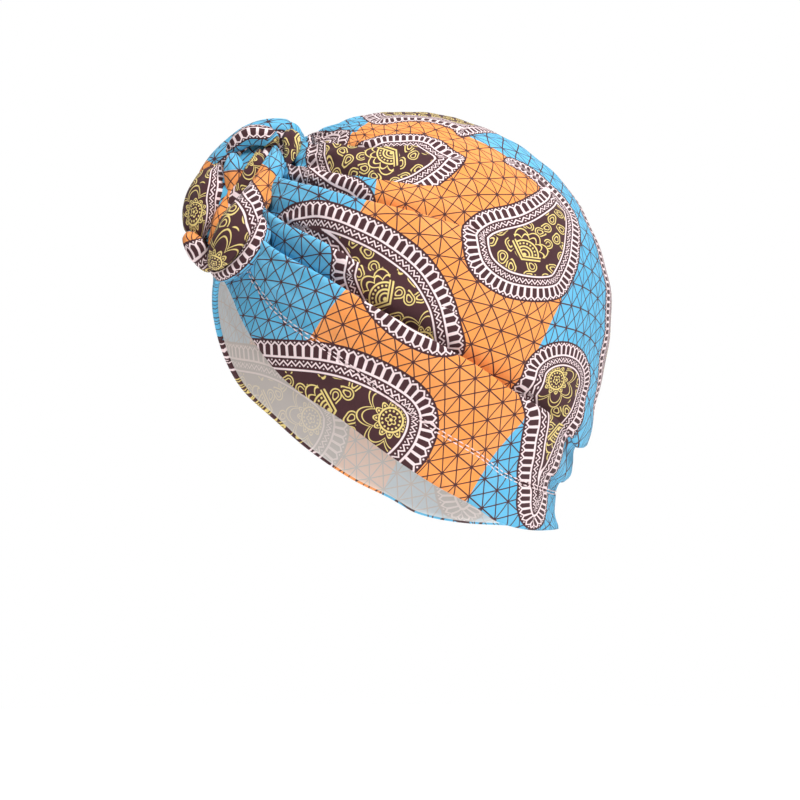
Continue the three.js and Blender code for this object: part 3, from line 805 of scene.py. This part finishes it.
def crownSurface(turn, height, length):
    lift, over, hidden, slant = 0 * height, 0 * height, 0 * height, 0 * height
    layer = np.zeros(height.shape, int)
    for tuck in tucks:
        rel = height - (tuckShare(tuck, turn) * length)[:, None]
        depth = (tuckFade(tuck, turn) * cloth["tuckDepth"])[:, None]
        lift += depth * lipLift(rel)
        over += depth * lipOver(rel)
        hidden += depth * lattice["hidden"] * ease(rel, 0.1, 0.6)
        folded = depth / cloth["tuckDepth"] / tuck["depth"]
        slant += tuck["slant"] * (folded * ease(rel, 0.1, 0.6) + (1 - folded) * ease(rel, -25, 25))
        layer += rel > 0.35
    band = height / (tuckShare(tucks[0], turn) * length)[:, None]
    nape = ease(np.abs(turn), cloth["napeFrom"], cloth["napeTo"])[:, None] * cloth["napeTuck"]
    lift += nape * readTable(napeGathers, "share", "offset", band)
    for step in napeSteps:
        rel = (step["band"] - band) * (tuckShare(tucks[0], turn) * length)[:, None]
        over -= crown["napeOver"] * nape * step["depth"] * lipOver(rel)
    return lift, over, layer, np.stack([hidden, slant], -1)


def crownCloth(turn, height, length):
    lift, over, layer, net = crownSurface(turn, height, length)
    share = height / length[:, None]
    around = np.abs(turn)[:, None] + 0 * height
    # gathers that fan from the knot, slow wrinkles, and creases along the folds
    near = np.exp(-((around / crown["gatherReach"]) ** 2)) * ease(share, 0.12, 0.4)
    warp = share * crown["gatherCount"] + 0.5 * ripple(around, share * 90, 5, 50)
    lift += crown["gather"] * near * (np.abs(np.sin(warp * math.pi)) ** 0.7 - 0.6)
    sway = ripple(around * 1.2, height, 11, 46) + 0.6 * ripple(around * 0.8, height * 2.2, 12, 30)
    lift += crown["wrinkle"] * sway * ease(height, 2, 20)
    runs = share * crown["foldRuns"]
    long = ripple(around * 0.3, runs + around * 0.12, 21, 15) + 0.5 * ripple(around * 0.5, runs, 22, 8)
    lift += crown["crease"] * long * np.exp(-((around / crown["creaseReach"]) ** 2)) * ease(height, 24, 34)
    # the hem's groove and puckers at its stitches, and its turned-up cloth below them
    seam = crown["stitchHeight"]
    lift -= crown["stitchGroove"] * np.exp(-(((height - seam) / crown["stitchWidth"]) ** 2))
    pucker = np.sin(np.radians(turn) * crown["puckers"])[:, None]
    lift += crown["pucker"] * pucker * np.exp(-(((height - seam) / crown["puckerWidth"]) ** 2))
    lift += crown["hemSwell"] * (1 - ease(height, seam - 2, seam)) * ease(height, 0, 3)
    way = drapeWay(turn[:, None] + 0 * share, np.clip((height + over) / length[:, None], 0, 1))
    smooth = formPoint(way)
    return smooth + formNormal(smooth) * lift[..., None], wayOf(smooth), layer, net


def gridFaces(columns, rows, first=0):
    c, r = np.meshgrid(np.arange(columns), np.arange(rows - 1), indexing="ij")
    a, b = first + c * rows + r, first + (c + 1) % columns * rows + r
    return np.stack([a, b, b + 1, a + 1], -1).reshape(-1, 4)


def innerCloth(turn, length):
    # The inside follows the outside loosely, and lies over the turned-up hem
    height = length[:, None] * (np.linspace(0, 1, crown["innerRows"]) ** 1.1 * crown["topShare"])[None, :]
    height[:, 0] = crown["innerFirst"]
    lift, _, layer, net = crownSurface(turn, height, length)
    for nearby in crown["innerReach"]:
        lift = np.minimum(lift, crownSurface(turn, np.clip(height + nearby, 0, length[:, None]), length)[0])
    smooth = formPoint(drapeWay(turn[:, None] + 0 * height, height / length[:, None]))
    turnUp = crown["turnUp"] * (1 - ease(height, crown["stitchHeight"] - 4, crown["stitchHeight"] + 1))
    inner = smooth + formNormal(smooth) * (np.minimum(lift, 1) - cloth["wall"] - turnUp)[..., None]
    inner[:, 0] = inner[:, 1] * 0.15 + inner[:, 0] * 0.85
    return inner, wayOf(smooth), layer, net


def makeCrown(ready):
    turn = np.arange(crown["columns"]) * 360 / crown["columns"] - 180
    length = drapeLength(turn)
    height = crownHeights(turn, length)
    outer, way, layer, net = crownCloth(turn, height, length)
    inner, innerWay, innerLayer, innerNet = innerCloth(turn, length)
    # a rounded rim joins the two, and each closes at its pole
    columns, rows = height.shape
    innerRows = crown["innerRows"]
    rim = (outer[:, 0] + inner[:, 0]) / 2 - np.array([0, 0, crown["rim"]])
    poles = [[skin[:, -1].mean(0)] for skin in (outer, inner)]
    points = np.concatenate([outer.reshape(-1, 3), inner.reshape(-1, 3), rim, *poles])
    innerFirst = columns * rows
    rimFirst = innerFirst + columns * innerRows
    poleAt, innerPoleAt = rimFirst + columns, rimFirst + columns + 1
    faces = [tuple(f) for f in gridFaces(columns, rows)]
    faces += [tuple(f[::-1]) for f in gridFaces(columns, innerRows, innerFirst)]
    for c in range(columns):
        d = (c + 1) % columns
        inC, inD = innerFirst + c * innerRows, innerFirst + d * innerRows
        faces.append((rimFirst + c, rimFirst + d, d * rows, c * rows))
        faces.append((inC, inD, rimFirst + d, rimFirst + c))
        faces.append((c * rows + rows - 1, d * rows + rows - 1, poleAt))
        faces.append((inD + innerRows - 1, inC + innerRows - 1, innerPoleAt))
    piece = makeMesh("crown_cloth", points, faces)
    ways = np.concatenate([way.reshape(-1, 3), innerWay.reshape(-1, 3), way[:, 0], way[:1, -1], innerWay[:1, -1]])
    layers = np.concatenate([layer.ravel(), innerLayer.ravel(), layer[:, 0], [len(tucks)] * 2])
    nets = np.concatenate([net.reshape(-1, 2), innerNet.reshape(-1, 2), net[:, 0], net[:1, -1], innerNet[:1, -1]])
    dressMesh(piece, ready, ways, layers, nets)
    piece.data.materials.append(clothFront)
    piece.data.materials.append(clothReverse)
    slots = np.zeros(len(piece.data.polygons), np.int32)
    outerFaces = (rows - 1) * columns
    slots[outerFaces:outerFaces + (innerRows - 1) * columns] = 1
    piece.data.polygons.foreach_set("material_index", slots)
    return piece


def dressMesh(piece, ready, ways, layers, nets):
    mesh = piece.data
    ways = np.concatenate([np.abs(ways[:, :1]), ways[:, 1:]], 1)  # the far side mirrors the near one
    corners = np.zeros(len(mesh.loops), np.int32)
    mesh.loops.foreach_get("vertex_index", corners)
    starts = np.zeros(len(mesh.polygons), np.int32)
    mesh.polygons.foreach_get("loop_start", starts)
    sizes = np.diff(np.append(starts, len(corners)))
    edge, along, count, flower, orange = printAt(ready, flatPlace(ways, middleWay), layers)
    net = latticePlace(ways, nets[:, 0], nets[:, 1])
    faceOf = np.repeat(np.arange(len(starts)), sizes)
    high = np.maximum.reduceat(along[corners], starts)[faceOf]
    turns = np.round((high - along[corners]) / count[corners])  # where the outline's end meets its start
    addLayer(mesh, "net", net[corners])
    addLayer(mesh, "band", np.stack([along[corners] + turns * count[corners], edge[corners]], 1))
    addLayer(mesh, "flower", flower[corners])
    addMask(mesh, "orange", orange[corners])


crownPiece = makeCrown(preparePrint())
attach(crownPiece, "root")
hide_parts("crown")
print("crown draped")

# Two rows of stitches hold the turned-up hem

stitches = {"heights": (24.2, 26.0), "long": 2.4, "gap": 0.9, "thick": 0.28, "samples": 1440, "sides": 6,
            "swell": (0.5, 1, 1, 0.5), "rise": (0, 0.25, 0.25, 0)}


def stitchRing(spot, outward, side, size, rise):
    corner = np.arange(stitches["sides"]) * 2 * math.pi / stitches["sides"]
    ring = (side * np.cos(corner)[:, None] + outward * np.sin(corner)[:, None]) * size * stitches["thick"]
    return list(spot + outward * rise + ring)


def makeStitches():
    fine = np.arange(stitches["samples"]) * 360 / stitches["samples"] - 180
    lengths = drapeLength(fine)
    points, faces = [], []
    pitch, sides = stitches["long"] + stitches["gap"], stitches["sides"]
    for height in stitches["heights"]:
        line = crownCloth(fine, np.full((len(fine), 1), height), lengths)[0][:, 0]
        line = np.concatenate([line, line[:1]])
        out = formNormal(line)
        along = np.concatenate([[0], np.cumsum(np.linalg.norm(np.diff(line, axis=0), axis=1))])
        count = round(along[-1] / pitch)
        for k in range(count):
            at = (k + np.linspace(0, 1, 4) * stitches["long"] / pitch) * along[-1] / count
            spots = np.stack([np.interp(at, along, line[:, i]) for i in range(3)], 1)
            outward = unit(np.stack([np.interp(at, along, out[:, i]) for i in range(3)], 1))
            side = unit(np.cross(unit(spots[-1] - spots[0]), outward))
            first = len(points)
            for row in zip(spots, outward, side, stitches["swell"], stitches["rise"]):
                points += stitchRing(*row)
            for i in range(3):
                for m in range(sides):
                    a, b = first + i * sides + m, first + i * sides + (m + 1) % sides
                    faces.append((a, b, b + sides, a + sides))
            faces.append(tuple(first + m for m in range(sides))[::-1])
            faces.append(tuple(first + 3 * sides + m for m in range(sides)))
    piece = makeMesh("hem_stitches", np.array(points), faces)
    thread = bpy.data.materials.new("whiteThread")
    thread.use_nodes = True
    shader = thread.node_tree.nodes["Principled BSDF"]
    shader.inputs["Base Color"].default_value = (*colours["white"], 1)
    shader.inputs["Roughness"].default_value = finish["roughness"]
    piece.data.materials.append(thread)
    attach(piece, "root")


makeStitches()
print("hem stitched")

# The knot, square to the crown at its seat

knot = {
    "lift": 35, "halfWidth": 28, "halfHeight": 42, "rise": 27, "radius": 9.5, "steps": 96, "sides": 60,
    "press": 0.15, "creases": 6, "creaseMiddle": 0.1, "creaseEnd": 0.24, "twist": 0.9, "lean": 0.35, "swell": 0.05,
    "taper": 4.875, "tip": 0.03, "seam": 300, "endRings": 0.45, "endPower": 2.2, "creasePower": 0.6, "capOut": 0.8,
    "pressTries": 9, "pressReach": 75, "endDepth": 3, "firstSeed": 40,
}
rolls = {  # rows along each roll: side, height and rise on the knot, and how broad and thick it is there
    "front_roll": [(-0.2, 0.09, 0.71, 0.5, 0.53), (-0.14, -0.1, 0.68, 0.95, 0.8), (-0.08, -0.28, 0.62, 1.3, 0.96),
                   (-0.04, -0.48, 0.54, 1.3, 0.96), (0.04, -0.67, 0.44, 1, 0.8), (0.1, -0.81, 0.3, 0.6, 0.58)],
    "top_fold": [(0, 0.22, 0.77, 0.36, 0.36), (0.18, 0.37, 0.72, 0.46, 0.46), (0.29, 0.5, 0.62, 0.52, 0.52),
                 (0.36, 0.58, 0.39, 0.52, 0.52), (0.32, 0.58, 0.15, 0.44, 0.44)],
    "heart_roll": [(0.25, 0.22, 0.71, 0.52, 0.5), (0.29, 0.11, 0.6, 0.64, 0.58), (0.32, -0.03, 0.44, 0.5, 0.53),
                   (0.34, -0.15, 0.33, 0.36, 0.42), (0.37, -0.3, 0.29, 0.32, 0.38), (0.4, -0.45, 0.27, 0.36, 0.42),
                   (0.4, -0.62, 0.21, 0.4, 0.42), (0.33, -0.8, 0.17, 0.3, 0.36)],
    "low_fold": [(0.11, -0.73, 0.52, 0.38, 0.38), (0.14, -0.85, 0.42, 0.5, 0.5), (0.18, -0.92, 0.21, 0.55, 0.53),
                 (0.18, -0.94, -0.03, 0.5, 0.5), (0.21, -0.95, -0.25, 0.38, 0.42)],
    "inner_roll": [(0.46, 0.4, 0.4, 0.32, 0.4), (0.5, 0.25, 0.3, 0.42, 0.46), (0.5, 0.09, 0.27, 0.44, 0.46),
                   (0.5, -0.05, 0.26, 0.38, 0.42), (0.5, -0.18, 0.19, 0.27, 0.38), (0.46, -0.31, 0.16, 0.19, 0.27)],
    "near_roll": [(0.43, 0.54, 0.2, 0.4, 0.46), (0.57, 0.39, 0.09, 0.57, 0.59), (0.68, 0.19, 0.02, 0.65, 0.67),
                  (0.75, -0.02, 0.01, 0.74, 0.77), (0.86, -0.27, 0.04, 0.85, 0.85), (0.96, -0.51, 0.06, 0.98, 0.94),
                  (0.89, -0.73, 0.01, 1, 0.92), (0.61, -0.9, -0.06, 0.77, 0.74), (0.21, -0.98, -0.07, 0.53, 0.57)],
    "far_roll": [(-0.58, -0.34, 0.42, 0.63, 0.74), (-0.62, -0.12, 0.52, 0.9, 0.95), (-0.6, 0.12, 0.54, 1.08, 0.95),
                 (-0.5, 0.36, 0.47, 1.1, 0.95), (-0.38, 0.57, 0.36, 1.05, 0.95), (-0.26, 0.74, 0.17, 0.92, 0.89),
                 (-0.14, 0.85, -0.07, 0.68, 0.74), (0.04, 0.81, -0.26, 0.47, 0.53)],
    "gather_fold": [(0.11, 0.81, 0.09, 0.42, 0.42), (0.43, 0.71, 0.02, 0.48, 0.48), (0.54, 0.61, -0.07, 0.44, 0.42),
                    (0.61, 0.46, -0.14, 0.32, 0.32), (0.64, 0.34, -0.19, 0.22, 0.24)],
    "side_roll": [(-0.36, 0.76, -0.07, 0.53, 0.53), (-0.75, 0.48, -0.07, 0.79, 0.79),
                  (-0.89, 0.1, -0.04, 0.89, 0.89), (-0.89, -0.29, 0, 0.95, 0.95), (-0.75, -0.62, -0.04, 0.95, 0.95),
                  (-0.39, -0.83, -0.11, 0.84, 0.84), (0, -0.9, -0.19, 0.53, 0.53)],
    "under_roll": [(1.07, -0.28, -0.18, 0.42, 0.42), (1.14, -0.43, -0.29, 0.63, 0.53),
                   (1.14, -0.64, -0.35, 0.8, 0.58), (0.93, -0.83, -0.33, 0.8, 0.58),
                   (0.54, -0.95, -0.27, 0.68, 0.53), (0.07, -0.97, -0.14, 0.53, 0.47)],
}
knotSeat = formPoint(direction(0, knot["lift"]))
knotOut = formNormal(knotSeat)
knotAcross = np.array([1.0, 0, 0])
knotUp = np.cross(knotOut, knotAcross)


def knotPlace(side, height, rise):
    return (knotSeat + knotAcross * side * knot["halfWidth"] + knotUp * height * knot["halfHeight"]
            + knotOut * rise * knot["rise"])


def middleLine(rows, at):
    # Smooth line through the rows' places, and its direction, at shares of the way along
    spots = np.array([knotPlace(*row[:3]) for row in rows])
    spots = np.concatenate([[2 * spots[0] - spots[1]], spots, [2 * spots[-1] - spots[-2]]])
    u = np.clip(at, 0, 1) * (len(rows) - 1)
    i = np.minimum(u.astype(int), len(rows) - 2)
    f = (u - i)[:, None]
    places, way = curveBetween(spots[i], spots[i + 1], spots[i + 2], spots[i + 3], f)
    return places, unit(way)


def rollFrame(rows, at):
    centre, tangent = middleLine(rows, at)
    across = unit(np.cross(tangent, knotOut))
    outward = unit(np.cross(across, tangent))
    stations = [{"at": i / (len(rows) - 1), "broad": row[3], "thick": row[4]} for i, row in enumerate(rows)]
    drawn = np.sqrt(np.clip(np.minimum(at, 1 - at) * knot["taper"] + knot["tip"], 0, 1))
    broad = drawn * knot["radius"] * readTable(stations, "at", "broad", at)
    thick = drawn * knot["radius"] * readTable(stations, "at", "thick", at)
    return centre, tangent, across, outward, broad, thick


def insideRoll(points, shape, grow):
    # Under 1 inside the roll's oval section at the nearest place of its middle line
    centre, tangent, across, outward, broad, thick = shape
    best = np.full(len(points), 9.0)
    near = np.nonzero(np.linalg.norm(points - centre.mean(0), axis=1) < knot["pressReach"])[0]
    offset = points[near][:, None] - centre[None]
    lengthwise = np.abs((offset * tangent[None]).sum(2))
    i = np.argmin(np.linalg.norm(offset, axis=2) + lengthwise * 0.5, axis=1)
    pick = offset[np.arange(len(near)), i]
    x, y = (pick * across[i]).sum(1) / (broad[i] + grow), (pick * outward[i]).sum(1) / (thick[i] + grow)
    z = (pick * tangent[i]).sum(1) / knot["endDepth"]
    best[near] = np.sqrt(x**2 + y**2 + np.where(np.isin(i, [0, len(centre) - 1]), z**2, 0))
    return best


def insideCrown(points):  # under 1 inside the crown's dome
    return np.linalg.norm(points / (np.array([form["width"] / 2, form["front"], form["rise"]]) + 1), axis=1)


rollPrint = {
    # For each roll, over its unrolled cloth (around from its outward side, along from its start, in mm):
    # the paisley's edge as (direction inwards, offset), where the ground turns orange, the net's turn, the
    # rosette's middle and the scale of the border and the gold drawing
    "front_roll": {"edge": (166.5, -21), "orange": (270, -99), "net": 40, "flower": (8, 30), "scale": 0.8},
    "top_fold": {"edge": (0, -8), "orange": (0, 99), "net": 0, "flower": (14, 44), "scale": 0.7},
    "heart_roll": {"edge": (90, 52), "orange": (90, 9), "net": 45, "flower": (0, 60), "scale": 0.85},
    "low_fold": {"edge": (90, 6), "orange": (90, 2), "net": 10, "flower": (0, 60), "scale": 0.8},
    "inner_roll": {"edge": (0, -16), "orange": (0, 99), "net": 0, "flower": (-2, 6), "scale": 0.75},
    "near_roll": {"edge": (118, 21), "orange": (110, 12), "net": 15, "flower": (12, 66), "scale": 0.85},
    "far_roll": {"edge": (180, 9), "orange": (-90, -18), "net": 35, "flower": (-24, 50), "scale": 0.8},
    "gather_fold": {"edge": (0, -16), "orange": (0, 99), "net": 0, "flower": (-14, 12), "scale": 0.7},
    "side_roll": {"edge": (90, 48), "orange": (90, 30), "net": 25, "flower": (0, 90), "scale": 0.85},
    "under_roll": {"edge": (180, -12), "orange": (0, 99), "net": 0, "flower": (0, 60), "scale": 0.75},
}


def turned(sheet, angle):  # the cloth's two coordinates on axes turned by this many degrees
    c, t = math.cos(math.radians(angle)), math.sin(math.radians(angle))
    return sheet[:, 0] * c + sheet[:, 1] * t, -sheet[:, 0] * t + sheet[:, 1] * c


def dressRoll(piece, sheet, look):
    # sheet holds around and along in millimetres for each corner of the mesh
    angle, offset = look["edge"]
    inward, along = turned(sheet, angle)
    scale = look["scale"]
    addLayer(piece.data, "net", np.stack(turned(sheet, look["net"]), 1) / lattice["cell"])
    addLayer(piece.data, "band", np.stack([along / (picketWidth * scale), (inward - offset) / scale], 1))
    addLayer(piece.data, "flower", (sheet - np.array(look["flower"])) / scale)
    addMask(piece.data, "orange", turned(sheet, look["orange"][0])[0] - look["orange"][1])
    piece.data.materials.append(clothFront)


def tubeFaces(steps, sides):  # a closed tube of rings, with a point after them at each end
    faces = []
    for i in range(steps - 1):
        for k in range(sides):
            m = (k + 1) % sides
            faces.append((i * sides + k, i * sides + m, (i + 1) * sides + m, (i + 1) * sides + k))
    for k in range(sides):
        m = (k + 1) % sides
        faces.append((steps * sides, m, k))
        faces.append((steps * sides + 1, (steps - 1) * sides + k, (steps - 1) * sides + m))
    return faces


def tubeSheet(around, width, along, end):  # the unrolled tube's coordinates for each corner of those faces
    sheet = []
    for low, high in zip(along[:-1], along[1:]):
        for x in around:
            sheet += [(x, low), (x + width, low), (x + width, high), (x, high)]
    return np.array(sheet + ([(0, 0)] * 3 + [(0, end)] * 3) * len(around), float)


def makeRoll(name, rows, seed, over):
    steps, sides = knot["steps"], knot["sides"]
    at = (1 - np.cos(np.linspace(0.035, 0.965, steps) * math.pi)) / 2  # closer rings toward the ends
    at = at * knot["endRings"] + np.linspace(0.004, 0.996, steps) * (1 - knot["endRings"])
    centre, tangent, across, outward, broad, thick = rollFrame(rows, at)
    angle = np.arange(sides) * 2 * math.pi / sides
    a, t = np.meshgrid(at, angle, indexing="ij")
    phase = np.random.default_rng(seed).uniform(0, 2 * math.pi)
    ends = np.abs(2 * a - 1) ** knot["endPower"]
    depth = knot["creaseMiddle"] + (knot["creaseEnd"] - knot["creaseMiddle"]) * ends
    lean = t + knot["lean"] * np.sin(t + phase) + knot["twist"] * (a - 0.5)
    crease = 1 - np.abs(np.cos(lean * knot["creases"] / 2 + phase)) ** knot["creasePower"]
    size = 1 + knot["swell"] * ripple(a * 60, 20 * np.cos(t), seed, 34) - depth * crease
    ring = (across[:, None] * (broad[:, None] * np.cos(t) * size)[..., None]
            + outward[:, None] * (thick[:, None] * np.sin(t) * size)[..., None])
    points = pressBack((centre[:, None] + ring).reshape(-1, 3), np.repeat(centre, sides, axis=0), over)
    out = knot["capOut"]
    points = np.concatenate([points, [centre[0] - tangent[0] * out], [centre[-1] + tangent[-1] * out]])
    lengths = np.concatenate([[0], np.cumsum(np.linalg.norm(np.diff(centre, axis=0), axis=1))])
    girth = 2 * math.pi * np.sqrt((broad**2 + thick**2) / 2).max()
    around = ((angle - math.radians(knot["seam"])) / (2 * math.pi)) % 1 - 5 / 12
    piece = makeMesh(name + "_cloth", points, tubeFaces(steps, sides))
    dressRoll(piece, tubeSheet(around * girth, girth / sides, lengths, lengths[-1]), rollPrint[name])
    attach(piece, "root")
    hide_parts("knot_" + name)


def pressBack(points, middle, over):
    # Draws points toward their roll's middle line until they are clear of the crown and of the rolls over it
    low, high = np.zeros(len(points)), np.ones(len(points))
    for attempt in range(knot["pressTries"]):
        f = np.where(attempt == 0, 1.0, (low + high) / 2)
        spot = middle + (points - middle) * f[:, None]
        clear = insideCrown(spot) > 1
        for shape in over:
            clear &= insideRoll(spot, shape, knot["press"]) > 1
        low, high = np.where(clear, f, low), np.where(clear, high, f)
    return middle + (points - middle) * low[:, None]


def makeKnot():
    over = []
    for i, (name, rows) in enumerate(rolls.items()):
        makeRoll(name, rows, knot["firstSeed"] + i, over)
        over.append(rollFrame(rows, np.linspace(0, 1, 40)))


# The core behind the rolls: print that also serves as painted shade in the knot's deep creases

core = {
    "height": -0.03, "rise": -0.02, "halfWidth": 0.7, "halfHeight": 0.8, "depth": 0.66, "pleats": 9, "pleat": 0.09,
    # edge and orange print most of the core with the paisley's dark brown body and gold: real print, and also
    # painted shade for the deep creases between the rolls
    "slant": 0.8, "steps": 60, "sides": 90, "edge": (0, 10), "orange": (0, 999), "net": 0, "flower": (70, 30),
    "scale": 0.85,
}


def makeCore():
    # The tied heart of the knot: pleated cloth behind the rolls
    # mostly dark brown print seen in the gaps between rolls, standing in partly for painted shade there
    steps, sides = core["steps"], core["sides"]
    lift = np.linspace(-88, 88, steps)[:, None]
    turn = (np.arange(sides) * 360 / sides)[None, :]
    pleat = 1 - core["pleat"] * np.abs(np.cos(np.radians(turn * core["pleats"] / 2 + lift * core["slant"])))
    size = np.array([core["halfWidth"] * knot["halfWidth"], core["depth"] * knot["rise"],
                     core["halfHeight"] * knot["halfHeight"]])
    local = direction(turn + 0 * lift, lift + 0 * turn) * size * pleat[..., None]
    middle = knotPlace(0, core["height"], core["rise"])
    points = middle + (local[..., :1] * knotAcross - local[..., 1:2] * knotOut + local[..., 2:] * knotUp)
    points = np.concatenate([points.reshape(-1, 3), [points[0].mean(0)], [points[-1].mean(0)]])
    piece = makeMesh("core_cloth", points, tubeFaces(steps, sides))
    dressRoll(piece, tubeSheet(np.arange(sides), 1, np.arange(steps), 0), core)
    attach(piece, "root")
    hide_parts("knot_core")


makeKnot()
makeCore()
print("knot rolled")

# Stage and light

stage = {"floor": -0.42, "radius": 1.5, "grey": 0.86, "roughness": 0.9, "sky": 0.3, "glow": 0.5}
lights = {  # degrees round and up from the form, watts, and metres across
    "key": {"turn": 108, "lift": 46, "power": 22, "size": 0.4},
    "top": {"turn": 30, "lift": 78, "power": 9.5, "size": 0.7},
    "rim": {"turn": -130, "lift": 40, "power": 8, "size": 1.0},
}
lightDistance = 1.5
lightAim = Vector((0, 0, -0.1))


def makeStage():
    bpy.ops.object.select_all(action="DESELECT")
    bpy.ops.mesh.primitive_circle_add(vertices=96, radius=stage["radius"], fill_type="NGON",
                                      location=(0, 0, stage["floor"]))
    floor = bpy.context.object
    floor.name = "floor"
    material = bpy.data.materials.new("paleFloor")
    material.use_nodes = True
    shader = material.node_tree.nodes["Principled BSDF"]
    shader.inputs["Base Color"].default_value = (stage["grey"], stage["grey"], stage["grey"], 1)
    shader.inputs["Roughness"].default_value = stage["roughness"]
    shader.inputs["Emission Color"].default_value = (1, 1, 1, 1)
    shader.inputs["Emission Strength"].default_value = stage["glow"]
    floor.data.materials.append(material)
    world = bpy.data.worlds.new("world")
    world.use_nodes = True
    tree = world.node_tree
    seen = tree.nodes.new("ShaderNodeLightPath").outputs["Is Camera Ray"]
    sky = tree.nodes["Background"]
    sky.inputs["Color"].default_value = (1, 1, 1, 1)
    tree.links.new(plus(tree, stage["sky"], times(tree, seen, 1 - stage["sky"])),
                   sky.inputs["Strength"])
    bpy.context.scene.world = world


def softLight(name, turn, lift, power, size):
    data = bpy.data.lights.new(name, "AREA")
    data.energy = power
    data.size = size
    light = bpy.data.objects.new(name, data)
    bpy.context.scene.collection.objects.link(light)
    way = Vector(direction(turn, lift))
    light.location = lightAim + way * lightDistance
    light.rotation_euler = way.to_track_quat("Z", "Y").to_euler()


makeStage()
bpy.context.scene.view_settings.view_transform = "Standard"
for name, row in lights.items():
    softLight(name, **row)
print("stage lit")
